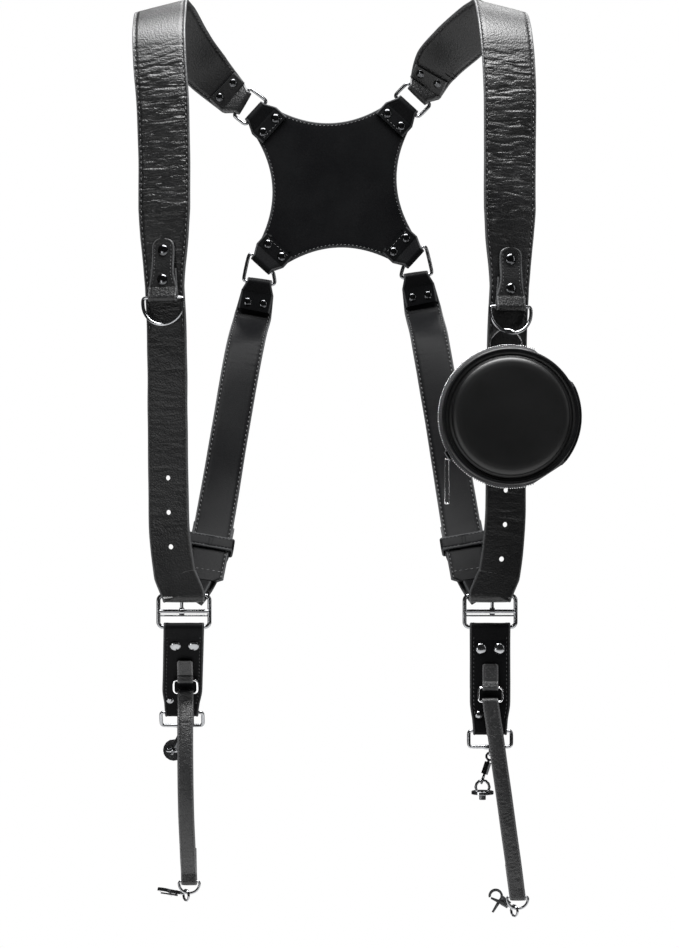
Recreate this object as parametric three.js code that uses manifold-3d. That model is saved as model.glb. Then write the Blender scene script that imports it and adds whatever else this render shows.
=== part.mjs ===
// Dual-strap leather carrying harness, shown as worn: two wide shoulder straps over the chest, a waisted
// back plate on four wire rings, two side straps, hip buckles, and a drop, screw link and tether per hip.
// Millimetres, +Z up. The wearer's front faces -Y. The origin lies midway between the two shoulder crests,
// at the underside of the leather, and +Y runs from the chest to the back plate.
import * as THREE from "three";
import { mergeVertices } from "three/addons/utils/BufferGeometryUtils.js";
import Module from "manifold-3d";

const wasm = await Module();
wasm.setup();

// Clearances
const FIT = 0.3; // between pieces that touch
const SLIP = 0.9; // between a strap and the band that it slides in

// Whole harness
const SHOULDER_OUT = 156; // centre plane to the middle of a strap at the crest
const CREST_DEPTH = 90; // chest plane to the crest
const CREST_SHIFT = -6; // sideways sit of the whole top on the wearer
const SHIFT_FADE = 0.2; // share of BUCKLE_DROP over which that shift dies away
const TORSO_DEPTH = 200; // chest plane to the back plate
const BUCKLE_DROP = 542; // crest to a hip buckle's top bar
const BUCKLE_OUT = 138; // centre plane to the middle of a hip buckle

// Leather straps
const STRAP_THICKNESS = 2.4;
const STRAP_WIDTH = 50; // over the shoulder
const LOWER_WIDTH = 38; // at the buckle
const REAR_WIDTH = 36; // at the back rings
const REAR_LOOP_WIDTH = 24; // inside a back ring
const CREST_ROLL = 16; // degrees that the crest slopes outward
const HOLE_RADIUS = 2.3;
const HOLE_PITCH = 31;
const HOLE_COUNT = 3;
const SIDE_STRAP_WIDTH = 36;
const SIDE_STRAP_THICKNESS = 2.2;
const FLAP_LENGTH = 27; // leather folded back at a back ring
const CHAPE_WIDTH = 15;
const CHAPE_THICKNESS = 1.2;
const TAIL_OVERRUN = 24; // strap end beyond the keeper
const TAIL_LIFT = 1.2; // strap end off the side strap, at the side strap's own end
const TAIL_SLIDE = 0.45; // share of the way over to the buckle there
const KEEPER_WIDTH = 14;
const KEEPER_THICKNESS = 1.8;

// Back plate
const PLATE_DROP = 152; // crest to the plate's centre
const PLATE_SHIFT = -2.6;
const PLATE_LEAN = 2.5; // degrees, turned with the shoulders
const PLATE_THICKNESS = 2.6;
const PLATE_WAIST = 60.5; // centre to the middle of a hollowed edge
const PLATE_ARM_REACH = 103; // centre to the bar of a corner ring
const PLATE_ARM_WIDTH = 35;
const PLATE_FLAP_LENGTH = 24;

// Back rings
const BACK_WIRE = 1.8;
const UPPER_RING_GAP = 18; // between a ring's two bars
const LOWER_RING_GAP = 19.5;
const LOWER_RING_LEAN = 10; // degrees outward, from bar to bar
const LOWER_BAR_TILT = 8; // degrees
const BACK_RING_CORNER = 3;

// Front tabs and their D-rings
const TAB_DROP = 225; // crest to a tab's top
const TAB_LENGTH = 53; // tab's top to the D-ring's bar
const TAB_TOP_WIDTH = 21.6;
const TAB_FOOT_WIDTH = 27.5;
const TAB_THICKNESS = 2;
const TAB_LEAF = 27; // leather folded up behind the tab
const TAB_TURN = 18; // degrees that the chest stretch of a strap faces outward
const D_WIRE = 1.6;
const D_WIDTH = 39;
const D_DEPTH = 24.6;
const D_CORNER = 2.4;

// Hip buckles
const BUCKLE_WIRE = 1.8;
const BUCKLE_WIDTH = 46;
const BUCKLE_HEIGHT = 28.5;
const BUCKLE_CORNER = 4.4;
const ROLLER_WIRE = 0.8;
const ROLLER_DROP = 4; // below the centre bar
const PRONG_WIRE = 1.5;
const PRONG_HUB = 4.5;
const PRONG_OFFSET = 2; // outward of the buckle's middle

// Drop tabs, square rings, links and screws
const DROP_LENGTH = 93.4; // buckle's bottom bar to the square ring's top bar
const DROP_TOP_WIDTH = 36.5;
const DROP_FOOT_WIDTH = 30.5;
const DROP_THICKNESS = 2;
const SQUARE_WIRE = 1.7;
const SQUARE_WIDTH = 38.5;
const SQUARE_HEIGHT = 14.6;
const SQUARE_CORNER = 2.6;
const EYE_RADIUS = 3.4;
const EYE_WIRE = 1.1;
const LINK_LENGTH = 22; // between the centres of the link's two eyes
const BARREL_RADIUS = 3.3;
const BARREL_LENGTH = 11;
const SCREW_DISC = 10;
const SCREW_DISC_THICKNESS = 3;
const SCREW_BOW = 6.2;
const SCREW_WIRE = 1.3;
const STUD_RADIUS = 3.1;
const STUD_LENGTH = 5;

// Tethers
const ANCHOR_DROP = 33; // buckle's bottom bar to the anchor strip's top
const ANCHOR_LENGTH = 21;
const ANCHOR_WIDTH = 14.3;
const ANCHOR_THICKNESS = 1.5;
const TETHER_RING_WIRE = 1.1;
const TETHER_RING_HEIGHT = 13;
const TETHER_RING_CORNER = 3.2;
const TETHER_RING_TILT = 9; // degrees that the ring's foot stands off the tab
const TETHER_WIDTH = 14.5;
const TETHER_THICKNESS = 2;
const TETHER_FLAP = 30;
const TETHER_D_WIRE = 1.25;
const TETHER_D_CORNER = 1.8;
const TETHER_D_DEPTH = 11;
const TETHER_LENGTH = 175; // fall from the small ring's foot to the tether's D-ring
const CLAW_THICKNESS = 3;
const CLAW_LENGTH = 24; // eye's rim to the hook's end
const CLAW_EYE = 4.9;
const CLAW_EYE_TURN = 57; // degrees that the eye stands across the tether's D-ring
const CLAW_HOOK = 6.5;
const CLAW_BORE = 4.4;
const CLAW_PIN = 0.9;
const CLAW_PLACE = 18; // degrees round the D-ring's bow from its foot

// Rivets
const RIVET_HEAD = 5;
const RIVET_DOME = 2.1;
const RIVET_SHANK = 1.5;

// Round zip pouch
const POUCH_RADIUS = 63;
const POUCH_FRONT_DEPTH = 22;
const POUCH_BACK_DEPTH = 20;
const POUCH_WALL = 2;
const ZIP_HALF_WIDTH = 4.5;
const POUCH_RING_RADIUS = 14.5;
const POUCH_RING_WIRE = 1;
const POUCH_RING_TURN = -12.5; // degrees
const POUCH_RING_PLACE = 11; // degrees round the D-ring's bow from its foot
const HANGER_WIDTH = 7;
const HANGER_LENGTH = 20;
const HANGER_THICKNESS = 1.5;

// What differs between the two sides, as worn in this pose
const SIDES = [
  {
    name: "left",
    sign: -1,
    rearRise: 30, // degrees above level at which the strap leaves the back ring
    rearBulge: 7,
    tabShift: -4,
    ringTilt: 4, // degrees that the front D-ring's foot stands off the chest
    holeStart: 44,
    dropLean: 30,
    dropSkew: 4.6,
    linkLean: -25,
    screwTilt: 60,
    tetherOut: -3.3,
    tetherBow: 27,
    tetherShare: 0.98,
    clawRise: 10, // degrees
    clawRoll: 105, // degrees about its own length
  },
  {
    name: "right",
    sign: 1,
    rearRise: 46,
    rearBulge: -7,
    tabShift: 4,
    ringTilt: 10,
    holeStart: 33,
    dropLean: 0,
    dropSkew: 0,
    linkLean: 18,
    screwTilt: 0,
    tetherOut: 24.3,
    tetherBow: 6,
    tetherShare: 1,
    clawRise: 35,
    clawRoll: 180,
  },
];

// Shoulder strap from the crest down to the buckle: drop in shares of BUCKLE_DROP, depth in shares of
// CREST_DEPTH, out from BUCKLE_OUT to SHOULDER_OUT, width from LOWER_WIDTH to STRAP_WIDTH, turn in shares
// of TAB_TURN, roll in shares of CREST_ROLL.
const FRONT_RUN = [
  { drop: 0, depth: 1, out: 1, width: 1, turn: 0, roll: 1 },
  { drop: 0.005, depth: 0.73, out: 1.03, width: 1, turn: 0.1, roll: 0.85 },
  { drop: 0.026, depth: 0.467, out: 1.06, width: 1, turn: 0.3, roll: 0.6 },
  { drop: 0.059, depth: 0.267, out: 1.09, width: 1, turn: 0.5, roll: 0.4 },
  { drop: 0.11, depth: 0.133, out: 1.1, width: 1, turn: 0.7, roll: 0.2 },
  { drop: 0.175, depth: 0.045, out: 1.04, width: 1, turn: 0.85, roll: 0.05 },
  { drop: 0.269, depth: 0, out: 0.97, width: 1, turn: 1, roll: 0 },
  { drop: 0.36, depth: -0.03, out: 0.96, width: 1, turn: 1, roll: 0 },
  { drop: 0.41, depth: -0.03, out: 0.955, width: 0.7, turn: 1, roll: 0 },
  { drop: 0.455, depth: -0.03, out: 0.95, width: 0.25, turn: 1, roll: 0 },
  { drop: 0.49, depth: -0.03, out: 0.93, width: 0, turn: 1, roll: 0 },
  { drop: 0.585, depth: -0.03, out: 0.82, width: 0, turn: 0.9, roll: 0 },
  { drop: 0.718, depth: 0, out: 0.8, width: 0, turn: 0.85, roll: 0 },
  { drop: 0.817, depth: 0, out: 0.77, width: 0, turn: 0.8, roll: 0 },
  { drop: 0.884, depth: 0, out: 0.73, width: 0, turn: 0.65, roll: 0 },
  { drop: 0.925, depth: 0, out: 0.62, width: 0, turn: 0.45, roll: 0 },
  { drop: 0.967, depth: 0, out: 0.45, width: 0, turn: 0.2, roll: 0 },
];

// Shoulder strap from a back ring up to the crest: every column runs from 0 at the ring to 1 at the crest.
const REAR_RUN = [
  { drop: 0.325, depth: 0.14, out: 0.26, width: 0.64, roll: 0.38, bulge: 1 },
  { drop: 0.6, depth: 0.43, out: 0.56, width: 0.95, roll: 0.62, bulge: 1 },
  { drop: 0.91, depth: 0.76, out: 0.87, width: 1, roll: 0.85, bulge: 0.3 },
];

// Side strap from a back ring down to the hip: every share runs from 0 at the ring to 1 at the buckle's
// top bar, and turn is in degrees.
const SIDE_RUN = [
  { drop: 0.207, depth: 0.22, out: 0.19, turn: -10 },
  { drop: 0.47, depth: 0.47, out: 0.38, turn: -20 },
  { drop: 0.646, depth: 0.616, out: 0.503, turn: -18 },
  { drop: 0.787, depth: 0.763, out: 0.6, turn: -10 },
];
const KEEPER_PLACE = { drop: 0.843, depth: 0.834, out: 0.643, turn: -9 };
const SIDE_END = { drop: 0.945, depth: 0.963, out: 0.72, turn: -6 };

// Materials
const materials = {
  leather: new THREE.MeshStandardMaterial({ color: 0x17181a, roughness: 0.55, metalness: 0 }),
  smooth: new THREE.MeshStandardMaterial({ color: 0x121315, roughness: 0.42, metalness: 0 }),
  wire: new THREE.MeshStandardMaterial({ color: 0x6f7175, roughness: 0.2, metalness: 1 }),
  rivet: new THREE.MeshStandardMaterial({ color: 0x4a4b4f, roughness: 0.22, metalness: 1 }),
  pouch: new THREE.MeshStandardMaterial({ color: 0x101114, roughness: 0.48, metalness: 0 }),
  zip: new THREE.MeshStandardMaterial({ color: 0x1c1d20, roughness: 0.7, metalness: 0 }),
};

const group = new THREE.Group();

function addMesh(name, geometry, material, parent = group) {
  const mesh = new THREE.Mesh(geometry, material);
  mesh.name = name;
  parent.add(mesh);
  return mesh;
}

// Small vector helpers
const vec = (x, y, z) => new THREE.Vector3(x, y, z);
const rad = (degrees) => THREE.MathUtils.degToRad(degrees);
const mix = (a, b, share) => a + (b - a) * share;
const along = (point, ...steps) => {
  const moved = point.clone();
  for (const [direction, distance] of steps) moved.addScaledVector(direction, distance);
  return moved;
};
const widthAxis = vec(1, 0, 0);
const back = vec(0, 1, 0);
const front = vec(0, -1, 0);
const up = vec(0, 0, 1);
const down = vec(0, 0, -1);
const outward = (side) => vec(side.sign, 0, 0);

// Width direction of a strap: it points inward, turned toward the viewer and rolled up, in degrees.
function widthDirection(side, turn, roll) {
  return vec(
    -side.sign * Math.cos(rad(roll)) * Math.cos(rad(turn)),
    -Math.cos(rad(roll)) * Math.sin(rad(turn)),
    Math.sin(rad(roll)),
  );
}

// Closed meshes
function closedGeometry(points, triangles) {
  let volume = 0;
  for (const [a, b, c] of triangles) {
    volume += points[a].dot(points[b].clone().cross(points[c]));
  }
  const faces = volume < 0 ? triangles.map(([a, b, c]) => [a, c, b]) : triangles;
  const geometry = new THREE.BufferGeometry();
  geometry.setAttribute(
    "position",
    new THREE.Float32BufferAttribute(points.flatMap((p) => [p.x, p.y, p.z]), 3),
  );
  geometry.setIndex(faces.flat());
  return geometry;
}

// Skins equal rings of points, closed end to end or capped with fans.
function loft(rings, closed) {
  const count = rings[0].length;
  const points = rings.flat();
  const triangles = [];
  const spans = closed ? rings.length : rings.length - 1;
  for (let i = 0; i < spans; i++) {
    const base = i * count;
    const next = ((i + 1) % rings.length) * count;
    for (let k = 0; k < count; k++) {
      const l = (k + 1) % count;
      triangles.push([base + k, base + l, next + l], [base + k, next + l, next + k]);
    }
  }
  if (!closed) {
    const last = (rings.length - 1) * count;
    for (let k = 1; k < count - 1; k++) {
      triangles.push([0, k + 1, k], [last, last + k, last + k + 1]);
    }
  }
  return closedGeometry(points, triangles);
}

// Leather strip through stations { p, w, width }: centre, width direction and width.
function ribbon(stations, thickness) {
  const rings = stations.map(({ p, w, width }, i) => {
    const before = stations[Math.max(i - 1, 0)].p;
    const after = stations[Math.min(i + 1, stations.length - 1)].p;
    const tangent = after.clone().sub(before).normalize();
    const normal = tangent.clone().cross(w).normalize();
    const half = width / 2;
    const lift = thickness / 2;
    return [
      along(p, [w, half], [normal, lift]),
      along(p, [w, -half], [normal, lift]),
      along(p, [w, -half], [normal, -lift]),
      along(p, [w, half], [normal, -lift]),
    ];
  });
  return loft(rings, false);
}

// Stations spread evenly on a smooth curve through chosen ones.
function smooth(stations, perSpan) {
  const curve = new THREE.CatmullRomCurve3(stations.map((s) => s.p), false, "centripetal");
  const spans = stations.length - 1;
  const made = [];
  for (let i = 0; i <= spans * perSpan; i++) {
    const span = Math.min(Math.floor(i / perSpan), spans - 1);
    const share = i / perSpan - span;
    const from = stations[span];
    const to = stations[span + 1];
    made.push({
      p: curve.getPoint(i / (spans * perSpan)),
      w: from.w.clone().lerp(to.w, share).normalize(),
      width: mix(from.width, to.width, share),
    });
  }
  return made;
}

// Half turn of leather round a bar, from the face side over the end that points against away.
function wrap(bar, away, face, radius, width, steps = 5) {
  const stations = [];
  for (let i = 0; i <= steps; i++) {
    const angle = (Math.PI * i) / steps;
    stations.push({
      p: along(bar.centre, [face, radius * Math.cos(angle)], [away, -radius * Math.sin(angle)]),
      w: bar.along,
      width,
    });
  }
  return stations;
}

// A strip's folded end: the flap starts on the face side, runs to the bar, goes round it and comes out
// behind, where the strip's main layer goes on.
function foldedEnd(bar, away, face, wire, thickness, widths, flapLength) {
  const radius = wire + FIT + thickness / 2;
  const rest = thickness + FIT - radius;
  const landing = radius * 3;
  const tip = { p: along(bar.centre, [away, flapLength], [face, rest]), w: bar.along, width: widths.tip };
  const seat = { p: along(bar.centre, [away, landing], [face, rest]), w: bar.along, width: widths.seat };
  const rise = {
    p: along(bar.centre, [away, landing / 2], [face, (rest + radius) / 2]),
    w: bar.along,
    width: (widths.seat + widths.bar) / 2,
  };
  const main = { p: along(bar.centre, [away, landing], [face, -radius]), w: bar.along, width: widths.seat };
  return [tip, seat, rise, ...wrap(bar, away, face, radius, widths.bar), main];
}

// Closed outline with rounded corners in two directions of the plane.
function roundedOutline(corners, radii, steps) {
  const outline = [];
  corners.forEach((corner, i) => {
    const before = corners[(i + corners.length - 1) % corners.length];
    const after = corners[(i + 1) % corners.length];
    const toBefore = before.clone().sub(corner);
    const toAfter = after.clone().sub(corner);
    const half = Math.acos(toBefore.clone().normalize().dot(toAfter.clone().normalize())) / 2;
    const room = Math.min(toBefore.length(), toAfter.length()) * 0.499;
    const radius = Math.min(radii[i], room * Math.tan(half));
    const reach = radius / Math.tan(half);
    const middle = toBefore.normalize().add(toAfter.clone().normalize()).normalize();
    const centre = corner.clone().addScaledVector(middle, radius / Math.sin(half));
    const start = corner.clone().addScaledVector(before.clone().sub(corner).normalize(), reach).sub(centre);
    const end = corner.clone().addScaledVector(toAfter.normalize(), reach).sub(centre);
    const from = Math.atan2(start.y, start.x);
    let sweep = Math.atan2(end.y, end.x) - from;
    if (sweep > Math.PI) sweep -= 2 * Math.PI;
    if (sweep < -Math.PI) sweep += 2 * Math.PI;
    for (let k = 0; k <= steps; k++) {
      const angle = from + (sweep * k) / steps;
      const spoke = new THREE.Vector2(Math.cos(angle), Math.sin(angle));
      outline.push(centre.clone().addScaledVector(spoke, radius));
    }
  });
  return outline;
}

// Wire bent along a closed flat outline: u and v span its plane.
function wireLoop(outline, centre, u, v, wire, sides = 6) {
  const normal = u.clone().cross(v).normalize();
  const path = outline.map((q) => along(centre, [u, q.x], [v, q.y]));
  const rings = path.map((p, i) => {
    const before = path[(i + path.length - 1) % path.length];
    const after = path[(i + 1) % path.length];
    const tangent = after.clone().sub(before).normalize();
    const side = tangent.cross(normal).normalize();
    const ring = [];
    for (let k = 0; k < sides; k++) {
      const angle = ((k + 0.5) * 2 * Math.PI) / sides;
      ring.push(along(p, [normal, wire * Math.cos(angle)], [side, wire * Math.sin(angle)]));
    }
    return ring;
  });
  return loft(rings, true);
}

function circleOutline(radius, steps) {
  const outline = [];
  for (let i = 0; i < steps; i++) {
    const angle = (2 * Math.PI * i) / steps;
    outline.push(new THREE.Vector2(radius * Math.cos(angle), radius * Math.sin(angle)));
  }
  return outline;
}

// Turns a geometry made along local Y so that it lies along an axis through a point.
function placeAlong(geometry, centre, axis) {
  const turn = new THREE.Quaternion().setFromUnitVectors(back, axis.clone().normalize());
  return geometry.applyQuaternion(turn).translate(centre.x, centre.y, centre.z);
}

function rod(from, to, radius, sides = 8) {
  const axis = to.clone().sub(from);
  const geometry = new THREE.CylinderGeometry(radius, radius, axis.length(), sides);
  return placeAlong(geometry, from.clone().add(to).multiplyScalar(0.5), axis);
}

// Joins and cuts
function solidOf(geometry) {
  const bare = geometry.clone();
  bare.deleteAttribute("normal");
  bare.deleteAttribute("uv");
  const merged = mergeVertices(bare, 1e-4);
  return new wasm.Manifold(
    new wasm.Mesh({
      numProp: 3,
      vertProperties: merged.attributes.position.array,
      triVerts: new Uint32Array(merged.index.array),
    }),
  );
}

function geometryOf(solid) {
  const mesh = solid.getMesh();
  const geometry = new THREE.BufferGeometry();
  geometry.setAttribute("position", new THREE.Float32BufferAttribute(mesh.vertProperties, 3));
  geometry.setIndex([...mesh.triVerts]);
  return geometry;
}

function joined(...geometries) {
  return geometryOf(geometries.map(solidOf).reduce((whole, piece) => whole.add(piece)));
}

function cut(geometry, ...cutters) {
  return geometryOf(cutters.map(solidOf).reduce((whole, piece) => whole.subtract(piece), solidOf(geometry)));
}

// Rivet: dome on the face, shank through grip, flat cap behind.
function rivet(seat, face, grip) {
  const cap = RIVET_HEAD * 0.8;
  const profile = [
    [0, RIVET_DOME],
    [RIVET_HEAD * 0.7, RIVET_DOME * 0.75],
    [RIVET_HEAD, FIT],
    [RIVET_SHANK, FIT],
    [RIVET_SHANK, -grip - FIT],
    [cap, -grip - FIT],
    [cap, -grip - FIT - RIVET_DOME / 2],
    [0, -grip - FIT - RIVET_DOME / 2],
  ].map(([x, y]) => new THREE.Vector2(x, y));
  return placeAlong(new THREE.LatheGeometry(profile.reverse(), 8), seat, face);
}

const rivetHole = (seat, face, reach) =>
  rod(along(seat, [face, reach]), along(seat, [face, -reach]), RIVET_SHANK + FIT, 8);

// Back plate: frame of its leaning plane, corners and ring bars
const plateCentre = vec(PLATE_SHIFT, TORSO_DEPTH, -PLATE_DROP);
const plateRight = vec(Math.cos(rad(PLATE_LEAN)), 0, Math.sin(rad(PLATE_LEAN)));
const plateUp = vec(-Math.sin(rad(PLATE_LEAN)), 0, Math.cos(rad(PLATE_LEAN)));
const plateLoopRadius = BACK_WIRE + FIT + PLATE_THICKNESS / 2;
const ringDepth = TORSO_DEPTH - plateLoopRadius;

function plateCorner(side, vertical) {
  const diagonal = along(vec(0, 0, 0), [plateRight, side.sign], [plateUp, vertical]).normalize();
  const bar = {
    centre: along(plateCentre, [diagonal, PLATE_ARM_REACH], [front, plateLoopRadius]),
    along: diagonal.clone().cross(back).normalize(),
  };
  return { side, vertical, diagonal, bar };
}

function cornerLoop({ diagonal, bar }) {
  const widths = { tip: PLATE_ARM_WIDTH, seat: PLATE_ARM_WIDTH, bar: REAR_LOOP_WIDTH };
  const away = diagonal.clone().negate();
  const stations = foldedEnd(bar, away, front, BACK_WIRE, PLATE_THICKNESS, widths, PLATE_FLAP_LENGTH);
  const inner = stations[stations.length - 1];
  stations.push({ p: along(inner.p, [away, PLATE_FLAP_LENGTH]), w: bar.along, width: PLATE_ARM_WIDTH });
  return ribbon(stations, PLATE_THICKNESS);
}

// Plate outline: four arms with hollowed edges between them.
function plateGeometry(corners) {
  const armEnd = PLATE_ARM_REACH - PLATE_FLAP_LENGTH * 0.7;
  const half = PLATE_ARM_WIDTH / 2;
  const shape = new THREE.Shape();
  for (let quarter = 0; quarter < 4; quarter++) {
    const angle = rad(45 + 90 * quarter);
    const arm = new THREE.Vector2(Math.cos(angle), Math.sin(angle));
    const across = new THREE.Vector2(-arm.y, arm.x);
    const first = arm.clone().multiplyScalar(armEnd).addScaledVector(across, -half);
    const second = arm.clone().multiplyScalar(armEnd).addScaledVector(across, half);
    if (quarter === 0) shape.moveTo(first.x, first.y);
    else shape.lineTo(first.x, first.y);
    shape.lineTo(second.x, second.y);
    const edge = rad(90 + 90 * quarter);
    const middle = new THREE.Vector2(Math.cos(edge), Math.sin(edge)).multiplyScalar(PLATE_WAIST);
    const nextArm = new THREE.Vector2(-arm.y, arm.x);
    const nextAcross = new THREE.Vector2(-nextArm.y, nextArm.x);
    const end = nextArm.clone().multiplyScalar(armEnd).addScaledVector(nextAcross, -half);
    const control = middle.multiplyScalar(2).sub(second.clone().add(end).multiplyScalar(0.5));
    shape.quadraticCurveTo(control.x, control.y, end.x, end.y);
  }
  const panel = new THREE.ExtrudeGeometry(shape, {
    depth: PLATE_THICKNESS,
    bevelEnabled: false,
    curveSegments: 12,
  });
  panel.translate(0, 0, -PLATE_THICKNESS / 2);
  panel.applyMatrix4(new THREE.Matrix4().makeBasis(plateRight, plateUp, front));
  panel.translate(plateCentre.x, plateCentre.y, plateCentre.z);
  return joined(panel, ...corners.map(cornerLoop));
}

// Bars of the ring between a plate corner and the strap that it holds
function upperStrapBar({ side, bar }) {
  const lean = rad((45 + side.rearRise) / 2);
  const step = along(vec(0, 0, 0), [outward(side), Math.cos(lean)], [up, Math.sin(lean)]);
  return {
    centre: along(bar.centre, [step, UPPER_RING_GAP]),
    along: widthDirection(side, 0, 90 - side.rearRise),
  };
}

function lowerStrapBar({ side, bar }) {
  const lean = rad(LOWER_RING_LEAN);
  const tilt = rad(LOWER_BAR_TILT);
  const step = along(vec(0, 0, 0), [outward(side), Math.sin(lean)], [down, Math.cos(lean)]);
  return {
    centre: along(bar.centre, [step, LOWER_RING_GAP]),
    along: along(vec(0, 0, 0), [outward(side), -Math.cos(tilt)], [down, Math.sin(tilt)]),
  };
}

// A ring in the plane of the back plate round a plate's bar and a strap's bar
function backRing(plateBar, strapBar) {
  const sense = Math.sign(plateBar.along.dot(strapBar.along));
  const plateWay = plateBar.along.clone().multiplyScalar(sense);
  const half = REAR_LOOP_WIDTH / 2 + 2 * FIT;
  const ends = [1, -1].map((way) => {
    const onPlate = along(plateBar.centre, [plateWay, way * half]);
    const onStrap = along(strapBar.centre, [strapBar.along, way * half]);
    const bow = onStrap.clone().sub(onPlate).normalize();
    const plateAngle = Math.acos(-way * bow.dot(plateWay));
    const strapAngle = Math.acos(way * bow.dot(strapBar.along));
    return [
      along(onPlate, [plateWay, (way * BACK_RING_CORNER) / Math.tan(plateAngle / 2)]),
      along(onStrap, [strapBar.along, (way * BACK_RING_CORNER) / Math.tan(strapAngle / 2)]),
    ];
  });
  const corners = [ends[0][0], ends[1][0], ends[1][1], ends[0][1]];
  const flat = corners.map((c) => new THREE.Vector2(c.x, c.z));
  const outline = roundedOutline(flat, flat.map(() => BACK_RING_CORNER), 3);
  return wireLoop(outline, vec(0, ringDepth, 0), vec(1, 0, 0), up, BACK_WIRE);
}

// Hip buckle bars
const CHAPE_RADIUS = BUCKLE_WIRE + FIT + CHAPE_THICKNESS / 2;
const FOLD_RADIUS = CHAPE_RADIUS + CHAPE_THICKNESS / 2 + 1.5 * FIT + STRAP_THICKNESS / 2;

const buckleBar = (side, drop) => ({
  centre: vec(side.sign * BUCKLE_OUT, FOLD_RADIUS, -BUCKLE_DROP - drop),
  along: widthDirection(side, 0, 0),
});

// Places on the side strap
function sidePlace(side, from, row) {
  const bar = buckleBar(side, 0);
  return {
    p: vec(
      mix(from.centre.x, bar.centre.x, row.out),
      mix(from.centre.y, bar.centre.y, row.depth),
      mix(from.centre.z, bar.centre.z, row.drop),
    ),
    w: widthDirection(side, row.turn, 0),
    width: SIDE_STRAP_WIDTH,
  };
}

function sideStations(side, strapBar) {
  const away = along(vec(0, 0, 0), [outward(side), 0.2], [down, 1]).normalize();
  const widths = { tip: SIDE_STRAP_WIDTH * 0.86, seat: SIDE_STRAP_WIDTH * 0.88, bar: REAR_LOOP_WIDTH };
  const top = foldedEnd(strapBar, away, front, BACK_WIRE, SIDE_STRAP_THICKNESS, widths, FLAP_LENGTH);
  const flapFoot = {
    p: along(top[top.length - 1].p, [away, FLAP_LENGTH - 4]),
    w: strapBar.along,
    width: SIDE_STRAP_WIDTH,
  };
  const rows = [...SIDE_RUN, KEEPER_PLACE, SIDE_END].map((row) => sidePlace(side, strapBar, row));
  return { top, run: smooth([top[top.length - 1], flapFoot, ...rows], 3) };
}

// Frame of the side strap at its keeper and end
function frameBetween(from, to, w) {
  const tangent = to.clone().sub(from).normalize();
  const normal = tangent.clone().cross(w).normalize();
  if (normal.y < 0) normal.negate();
  return { tangent, w, normal };
}

const tailOffset = SIDE_STRAP_THICKNESS / 2 + CHAPE_THICKNESS + FIT + STRAP_THICKNESS / 2;

function sideFrames(side, strapBar) {
  const places = [SIDE_RUN[SIDE_RUN.length - 1], KEEPER_PLACE, SIDE_END].map((row) =>
    sidePlace(side, strapBar, row),
  );
  const [above, keeper, end] = places;
  return {
    above,
    keeper,
    end,
    keeperFrame: frameBetween(above.p, end.p, keeper.w),
    endFrame: frameBetween(keeper.p, end.p, end.w),
  };
}

function sideStrapGeometry(side, strapBar) {
  const { top, run } = sideStations(side, strapBar);
  const { end, endFrame } = sideFrames(side, strapBar);
  const tip = { p: along(end.p, [endFrame.tangent, 3]), w: end.w, width: SIDE_STRAP_WIDTH * 0.72 };
  const body = ribbon([...top.slice(0, -1), ...run, tip], SIDE_STRAP_THICKNESS);
  const bar = buckleBar(side, 0);
  bar.centre.addScaledVector(outward(side), -BUCKLE_WIDTH / 2 + BUCKLE_CORNER + FIT + CHAPE_WIDTH / 2);
  const away = end.p.clone().sub(bar.centre).setX(0).normalize();
  const face = vec(0, -away.z, away.y).negate();
  if (face.y > 0) face.negate();
  const buried = { p: along(tip.p, [endFrame.tangent, -6]), w: end.w, width: CHAPE_WIDTH };
  const sewn = SIDE_STRAP_THICKNESS / 2 + CHAPE_THICKNESS / 2 - 0.05;
  const chape = [
    buried,
    { p: tip.p, w: end.w, width: CHAPE_WIDTH },
    ...wrap(bar, away, face, CHAPE_RADIUS, CHAPE_WIDTH),
    { p: along(tip.p, [endFrame.normal, sewn]), w: end.w, width: CHAPE_WIDTH },
    { p: along(tip.p, [endFrame.normal, sewn], [endFrame.tangent, -12]), w: end.w, width: CHAPE_WIDTH },
  ];
  return joined(body, ribbon(chape, CHAPE_THICKNESS));
}

// Band round the side strap and the shoulder strap's tail
function keeperGeometry(side, strapBar) {
  const { keeper, keeperFrame } = sideFrames(side, strapBar);
  const innerWidth = Math.max(SIDE_STRAP_WIDTH, LOWER_WIDTH) + 2 * SLIP;
  const stack = SIDE_STRAP_THICKNESS / 2 + tailOffset + STRAP_THICKNESS / 2;
  const innerHeight = stack + 2 * SLIP;
  const rectangle = (width, height) => {
    const corners = [
      [-1, -1],
      [1, -1],
      [1, 1],
      [-1, 1],
    ].map(([a, b]) => new THREE.Vector2((a * width) / 2, (b * height) / 2));
    return corners;
  };
  const outer = rectangle(innerWidth + 2 * KEEPER_THICKNESS, innerHeight + 2 * KEEPER_THICKNESS);
  const shape = new THREE.Shape(roundedOutline(outer, [2, 2, 2, 2], 2));
  shape.holes.push(new THREE.Path(rectangle(innerWidth, innerHeight).reverse()));
  const band = new THREE.ExtrudeGeometry(shape, { depth: KEEPER_WIDTH, bevelEnabled: false });
  band.translate(0, 0, -KEEPER_WIDTH / 2);
  const { tangent, normal } = keeperFrame;
  const square = normal.clone().cross(tangent).normalize();
  band.applyMatrix4(new THREE.Matrix4().makeBasis(square, normal, square.clone().cross(normal)));
  const shift = stack / 2 - SIDE_STRAP_THICKNESS / 2;
  const centre = along(keeper.p, [normal, shift]);
  return band.translate(centre.x, centre.y, centre.z);
}

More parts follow.
